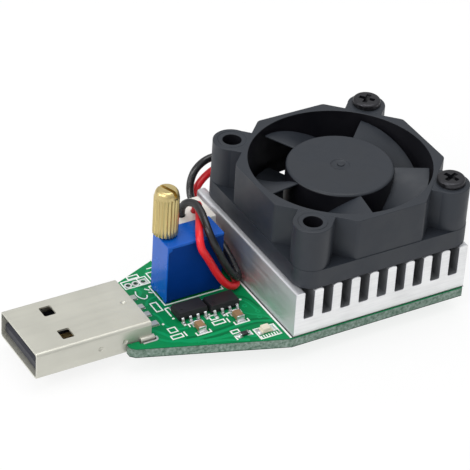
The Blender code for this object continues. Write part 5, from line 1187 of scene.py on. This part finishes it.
board = dict(
    # the black strip round the heat sink's foot is a painted shadow, not a part
    film=0.012, filmStep=0.002, line=0.2, printTop=0.045, padTop=0.04, bead=0.17, shadowStripTop=0.02, shadowStripIn=0.1,
    solderSunk=0.01, dotSteps=20,
    sinkLine=(37.28, 15.1, 0.3),  # place, half length and width
    boxes=(  # outlines: near corner and far corner
        (24.2, -0.08, 34.1, 5.15), (20.75, 5.95, 24.85, 7.75), (27.75, 5.4, 35.75, 11.3),
        (33.15, -13.5, 36.55, -11.0), (22.3, -1.0, 23.3, 1.2), (21.3, -8.0, 23.1, -7.2), (28.5, -7.6, 30.4, -6.8),
        (29.9, -10.6, 31.1, -9.9), (21.7, -6.5, 22.9, -5.4), (28.7, -6.3, 29.8, -5.3), (22.2, 8.0, 24.0, 8.7),
        (25.4, 6.4, 26.6, 8.3),
    ),
    ticks=(  # short strokes: from, to, width
        (23.75, -0.8, 23.75, -2.9, 0.22), (23.75, -0.8, 24.4, -0.8, 0.22), (32.55, -10.9, 32.55, -12.0, 0.22),
        (29.9, -11.1, 29.9, -12.2, 0.22), (29.9, -11.1, 30.3, -11.5, 0.18), (36.05, -11.2, 36.05, -12.5, 0.22),
        (36.35, -11.2, 36.35, -12.5, 0.16), (30.95, -6.8, 30.95, -7.9, 0.22),
        (23.6, -7.0, 23.6, -8.1, 0.22), (26.0, 9.3, 27.3, 9.3, 0.2), (23.4, 6.05, 23.4, 7.65, 0.17),
        (23.3, 4.9, 23.9, 4.3, 0.2), (23.5, 3.9, 24.0, 3.5, 0.2),
    ),
    arcs=(  # curved strokes: width, then points
        (0.2, (21.8, 4.9), (21.5, 4.2), (21.65, 3.25), (22.2, 2.65), (22.7, 2.8), (22.95, 3.4)),
    ),
    dots=((23.75, -3.5, 0.2), (29.05, -4.9, 0.18), (35.11, -3.6, 0.2), (21.7, -4.1, 0.2), (36.4, 6.2, 0.2)),
    teeth=dict(start=33.4, end=36.5, low=-13.35, high=-12.8, count=8, width=0.18),
    vias=((36.05, -7.3), (35.6, -8.6), (34.9, -5.3), (24.6, -10.0), (36.2, 9.4), (36.3, 2.4), (28.8, -10.6)),
    viaRing=0.42, viaHole=0.4,  # the hole as a share of the ring
    tracks=(  # width, shade, then points
        (0.5, "trackMask", (19.3, -6.9), (20.9, -8.3), (24.5, -9.3), (29.0, -9.3), (33.0, -9.0), (36.9, -10.2)),
        (0.4, "deepMask", (23.2, -8.5), (25.0, -8.75), (29.2, -8.7), (33.2, -8.45), (36.9, -9.5)),
        (0.6, "trackMask", (19.0, -4.0), (20.3, -5.6), (22.4, -8.9), (26.0, -10.3), (30.5, -11.0), (33.0, -12.6)),
        (0.4, "deepMask", (25.4, -9.8), (28.0, -9.95), (31.0, -9.75), (34.5, -9.7), (36.9, -10.8)),
        (0.35, "trackMask", (33.9, -6.6), (34.8, -7.5), (36.0, -8.2), (37.0, -9.6)),
        (0.3, "trackMask", (34.3, -3.0), (35.6, -4.4), (36.1, -6.9)),
        (0.3, "deepMask", (34.6, -2.0), (36.2, -3.7), (36.8, -6.4)),
        (0.4, "trackMask", (21.6, -1.0), (22.0, -2.4), (21.9, -4.6), (23.0, -6.0), (24.6, -6.4)),
        (0.4, "trackMask", (21.6, 1.0), (22.2, 1.9), (23.3, 2.4), (24.2, 2.4)),
        (0.5, "trackMask", (21.6, 3.5), (22.4, 4.4), (22.2, 5.2), (21.5, 5.9)),
        (0.4, "deepMask", (23.0, 5.5), (25.0, 5.8), (27.0, 7.4), (28.2, 9.2)),
        (0.5, "trackMask", (24.1, 6.9), (26.0, 8.9), (28.2, 10.3)),
        (0.6, "trackMask", (25.5, -10.6), (28.5, -11.6), (31.5, -12.9)),
    ),
    underTracks=(
        (2.2, "trackMask", (20.6, -3.5), (25.0, -5.5), (33.0, -6.5), (40.0, -6.8), (50.0, -6.6), (60.0, -8.0)),
        (1.4, "trackMask", (20.6, 3.5), (25.0, 5.6), (29.0, 8.6), (36.0, 8.6), (42.0, 6.0), (50.0, 6.2), (58.0, 8.0)),
        (0.4, "trackMask", (26.5, 2.4), (28.0, 4.0), (31.0, 4.6), (36.0, 2.5), (41.6, 2.3)),
        (0.4, "trackMask", (29.1, 2.4), (31.0, 0.2), (36.0, -1.5), (41.6, -2.3)),
        (0.4, "deepMask", (31.6, 2.4), (34.0, 5.2), (37.5, 5.6)),
        (0.5, "trackMask", (33.0, 7.5), (36.0, 6.6), (39.8, 5.2), (39.8, 3.6)),
        (0.5, "deepMask", (30.5, 7.5), (30.5, 10.5), (36.0, 12.5), (56.0, 12.5)),
    ),
    contactY=(-3.5, -1.0, 1.0, 3.5),
    contactPad=(20.21, 1.01, 0.55),  # pads: middle or way out, then half sizes
    contactSolder=(20.1, 0.06, (0.8, 0.42, 0.22)),  # solder: middle or way out, then sizes
    legPad=(0.25, 0.27, 0.5), legSolder=(0.24, 0.26, 0.16),
    holes=dict(start=21.5, pitch=1.27, y=6.7, outer=0.62, inner=0.36),
    legRing=dict(width=0.3, outer=7.02, end=19.42, start=16.9, bend=0.5, inner=6.1),
    legMound=(18.0, 6.45, (1.7, 0.62, 0.5)), pinCone=(0.95, 0.34, 1.05),  # a cone's radius, tip and depth
    pinCurve=(  # shares of a cone's radius, tip and depth
        (0, 0, 0), (1, 0, 0), (0.93, 0, 0.12), (0.72, 0, 0.3), (0.3, 0.7, 0.55), (0, 1.1, 0.85), (0, 0.8, 1), (0, 0, 1),
    ),
    powerTab=dict(pad=(49.65, 3.35, 3.5), solder=(52.1, (0.6, 2.8, 0.42))),
    powerLead=dict(pad=(1.35, 1.05, 0.85), solder=(1.3, (0.85, 0.6, 0.75))),
    shuntEnd=dict(pad=(3.0, 1.75, 0.8), solder=(3.25, (1.5, 0.5, 0.62))),
    ends=(  # parts with two soldered ends: place, way out and half size of the pads, way out and size of the solder
        (smallParts["capacitor_1"]["at"], (0, 0.95), (0.72, 0.42), (0, 1.02), (0.6, 0.24, 0.26)),
        (smallParts["capacitor_2"]["at"], (0, 0.95), (0.72, 0.42), (0, 1.02), (0.6, 0.24, 0.26)),
        (smallParts["resistor"]["at"], (0.8, 0), (0.4, 0.47), (0.85, 0), (0.27, 0.4, 0.22)),
        (lamp["at"], (1.05, 0), (0.42, 0.68), (1.08, 0), (0.3, 0.55, 0.24)),
    ),
    bracket=(1.15, 0.8, 1.5),  # half width, and from where to where along the capacitor
)


def strip(points, width, low, high, closed=False):
    # a flat bar along points, with mitred corners
    points = [Vector((x, y)) for x, y in points]
    count = len(points)
    bm = bmesh.new()
    rows = []
    for i, point in enumerate(points):
        sides = []
        for first, last in ((i - 1, i), (i, i + 1)):
            if closed or (first >= 0 and last < count):
                step = (points[last % count] - points[first]).normalized()
                sides.append(Vector((-step.y, step.x)))
        middle = sum(sides, Vector((0, 0))).normalized()
        side = middle * (width / 2 / max(0.5, middle.dot(sides[0])))
        corners = ((point + side, low), (point - side, low), (point - side, high), (point + side, high))
        rows.append([bm.verts.new((*flat, level)) for flat, level in corners])
    return capped(bm, rows + rows[:1], False) if closed else capped(bm, rows)


ringSteps = 28
moundSteps = (20, 12)  # round the middle, and from top to bottom


def washer(outer, inner, low, high, at):
    return turned([(inner, low), (outer, low), (outer, high), (inner, high)], ringSteps, (*at, 0))


def mound(at, low, size):
    # solder that has wet what it lies on: half of a flattened ball, closed below
    bm = bmesh.new()
    bmesh.ops.create_uvsphere(bm, u_segments=moundSteps[0], v_segments=moundSteps[1], radius=1.0)
    bmesh.ops.bisect_plane(bm, geom=bm.verts[:] + bm.edges[:] + bm.faces[:], plane_co=(0, 0, 0), plane_no=(0, 0, -1),
                           clear_outer=True)
    rim = [e for e in bm.edges if len(e.link_faces) == 1]
    bmesh.ops.contextual_create(bm, geom=rim)
    bm.transform(Matrix.Translation((*at, low)) @ Matrix.Diagonal((size[0], size[1], size[2], 1)))
    bmesh.ops.recalc_face_normals(bm, faces=bm.faces)
    return bm


def hanging(at, size, high=-closeBy):
    # a mound on the board's underside
    return shifted(mound((0, 0), 0, size), (*at, high), 180, "X")


def cone(at, size, curve):
    # solder drawn up a pin under the board
    radius, tip, depth = size
    return turned([(radius * a + tip * b, -depth * c) for a, b, c in curve], ringSteps, (*at, 0))


def easy(points, step=0.4):
    # a flowing line through a track's own points
    spaced, _ = smoothRoute([Vector((x, y, 0)) for x, y in points], step)
    return [point.xy for point in spaced]


def pinSpot(node):
    low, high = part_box(node)
    middle = ((low + high) / 2 - spot(0, 0, 0)) / mm
    return middle.x, middle.y


def makePrint(values):
    low, high, line = boardTop, boardTop + values["printTop"], values["line"]
    x, half, wide = values["sinkLine"]
    parts = [strip([(x, -half), (x, half)], wide, low, high)]
    for x0, y0, x1, y1 in values["boxes"]:
        parts.append(strip([(x0, y0), (x1, y0), (x1, y1), (x0, y1)], line, low, high, True))
    for x0, y0, x1, y1, wide in values["ticks"]:
        parts.append(strip([(x0, y0), (x1, y1)], wide, low, high))
    for x, y, radius in values["dots"]:
        parts.append(extruded(circlePoints(radius, values["dotSteps"], (x, y)), low, high))
    teeth = values["teeth"]
    for number in range(teeth["count"]):
        x = teeth["start"] + (teeth["end"] - teeth["start"]) * number / (teeth["count"] - 1)
        parts.append(strip([(x, teeth["low"]), (x, teeth["high"])], teeth["width"], low, high))
    for width, *points in values["arcs"]:
        parts.append(strip(easy(points), width, low, high))
    wide, near, far = values["bracket"]
    for node in ("capacitor_1", "capacitor_2"):
        x, y = smallParts[node]["at"]
        for way in (-1, 1):
            bracket = [(x - wide, y + way * near), (x - wide, y + way * far), (x + wide, y + way * far),
                       (x + wide, y + way * near)]
            parts.append(strip(bracket, line, low, high))
    addPiece("boardPrint", merged(*parts), "print")


def makeTracks(values):
    film, step = values["film"], values["filmStep"]
    for shade in ("trackMask", "deepMask"):
        parts = []
        for number, (width, kind, *points) in enumerate(values["tracks"]):
            if kind == shade:  # each a little higher than the one before, so that no two faces coincide
                parts.append(strip(easy(points), width, boardTop, boardTop + film + step * number))
        for number, (width, kind, *points) in enumerate(values["underTracks"]):
            if kind == shade:
                parts.append(strip(easy(points), width, -film - step * number, 0))
        if shade == "trackMask":
            ring = values["viaRing"]
            for at in values["vias"]:
                for low, high in ((boardTop, boardTop + 3 * film), (-3 * film, 0)):
                    parts.append(washer(ring, ring * values["viaHole"], low, high, at))
        addPiece("board" + shade[0].upper() + shade[1:], merged(*parts), shade)


powerLeads = ("transistor_gate_lead", "transistor_source_lead")


def bothWays(at, out):
    return [(at[0] + way * out[0], at[1] + way * out[1]) for way in (-1, 1)]


def legSpots(out):
    # the places of all chip legs, at a way out from the middle of their chip
    return [(along, y + way * out) for x, y in chips["at"].values() for way in (-1, 1) for along in legRow(x)]


def makePads(values):
    film = values["padTop"]
    upper, lower = (boardTop, boardTop + film), (-film, 0)
    inward, wide, long = values["legPad"]
    parts = [block(*at, wide, long, *upper) for at in legSpots(chips["span"] / 2 - inward)]
    for place, out, half, _, _ in values["ends"]:
        parts += [block(*at, *half, *upper) for at in bothWays(place, out)]
    middle, *half = values["contactPad"]
    parts += [block(middle, y, *half, *upper) for y in values["contactY"]]
    holes = values["holes"]
    outer, inner = holes["outer"], holes["inner"]
    for number in range(3):  # two round lands and a square one
        at = (holes["start"] + holes["pitch"] * number, holes["y"])
        for level in (upper, lower):
            if number < 2:
                parts.append(washer(outer, inner, *level, at))
            else:
                bore = extruded(circlePoints(inner, ringSteps, at), -1, 3)
                parts.append(carved(block(*at, outer, outer, *level), [bore]))
    addPiece("boardPads", merged(*parts), "solder")

    # a black strip on the board round the heat sink's foot: a painted shadow, in the black rubber finish
    bead, half = values["bead"], sink["width"] / 2
    x0, x1 = sink["start"] - bead / 2, sink["start"] + sink["length"] - values["shadowStripIn"]
    around = [(x0, -half), (x1, -half), (x1, half), (x0, half)]
    addPiece("sinkShadowStrip", strip(around, bead, boardTop, upper[1] + values["shadowStripTop"], True), "rubberAndShadow")

    ring = values["legRing"]
    bend = rounding((ring["end"] - ring["bend"], ring["outer"] - ring["bend"]), ring["bend"], (90, 0))
    path = [(ring["start"], ring["outer"])] + bend + [(ring["end"], ring["inner"])]
    parts = [strip([(x, side * y) for x, y in path], ring["width"], *level)
             for side in (-1, 1) for level in (upper, lower)]
    middle, *half = values["powerTab"]["pad"]
    parts.append(block(middle, 0, *half, *lower))
    back, *half = values["powerLead"]["pad"]
    for node in powerLeads:
        x, y = pinSpot(node)
        parts.append(block(x - back, y, *half, *lower))
    out, *half = values["shuntEnd"]["pad"]
    parts += [block(*at, *half, *lower) for at in bothWays(smallParts["shunt_resistor"]["at"], (0, out))]
    addPiece("boardLands", merged(*parts), "padTin")


def makeSolder(values):
    low = boardTop + values["padTop"] - values["solderSunk"]
    parts = [mound(at, low, values["legSolder"]) for at in legSpots(chips["span"] / 2)]
    for place, _, _, out, size in values["ends"]:
        parts += [mound(at, low, size) for at in bothWays(place, out)]
    start, step, size = values["contactSolder"]
    parts += [mound((start + step * number, y), low, size) for number, y in enumerate(values["contactY"])]
    for node in ("trimmer_pin_1", "trimmer_pin_2", "trimmer_pin_3", "header_pin_1", "header_pin_2"):
        parts.append(cone(pinSpot(node), values["pinCone"], values["pinCurve"]))
    x, y, size = values["legMound"]
    parts += [hanging((x, side * y), size, 0) for side in (-1, 1)]
    back, size = values["powerLead"]["solder"]
    for node in powerLeads:
        x, y = pinSpot(node)
        parts.append(hanging((x - back, y), size))
    x, size = values["powerTab"]["solder"]
    parts.append(hanging((x, 0), size))
    out, size = values["shuntEnd"]["solder"]
    parts += [hanging(at, size) for at in bothWays(smallParts["shunt_resistor"]["at"], (0, out))]
    addPiece("boardSolder", merged(*parts), "solder")


makePrint(board)
makeTracks(board)
makePads(board)
makeSolder(board)
print("board is dressed")


# the frame's own nodes that keep their shape

nodeFinishes = dict(
    mask=("board", "fan_driver_board"),
    nylonBlack=("usb_insulator", "trimmer_base"),
    contact=("usb_contact_1", "usb_contact_2", "usb_contact_3", "usb_contact_4"),
    pad=("thermal_pad",),
    steel=("rotor_yoke", "fan_shaft", "shaft_clip", "stator_core"),
    ferrite=("rotor_magnet",),
    bronze=("fan_bearing",),
    copper=("stator_coil_1", "stator_coil_2", "stator_coil_3", "stator_coil_4"),
    brass=("trimmer_worm",),
    rubberAndShadow=("trimmer_seal",),
    cream=("trimmer_wheel",),
    spring=("trimmer_wiper",),
    ceramic=("trimmer_element",),
    chip=("transistor_body",),
    tin=("trimmer_pin_1", "trimmer_pin_2", "trimmer_pin_3", "header_pin_1", "header_pin_2", "transistor_tab",
         "transistor_gate_lead", "transistor_source_lead"),
)

for finish, nodes in nodeFinishes.items():
    for node in nodes:
        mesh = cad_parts[node].data
        mesh.materials.clear()
        mesh.materials.append(finishes[finish])
print("nodes are finished:", sum(len(nodes) for nodes in nodeFinishes.values()))
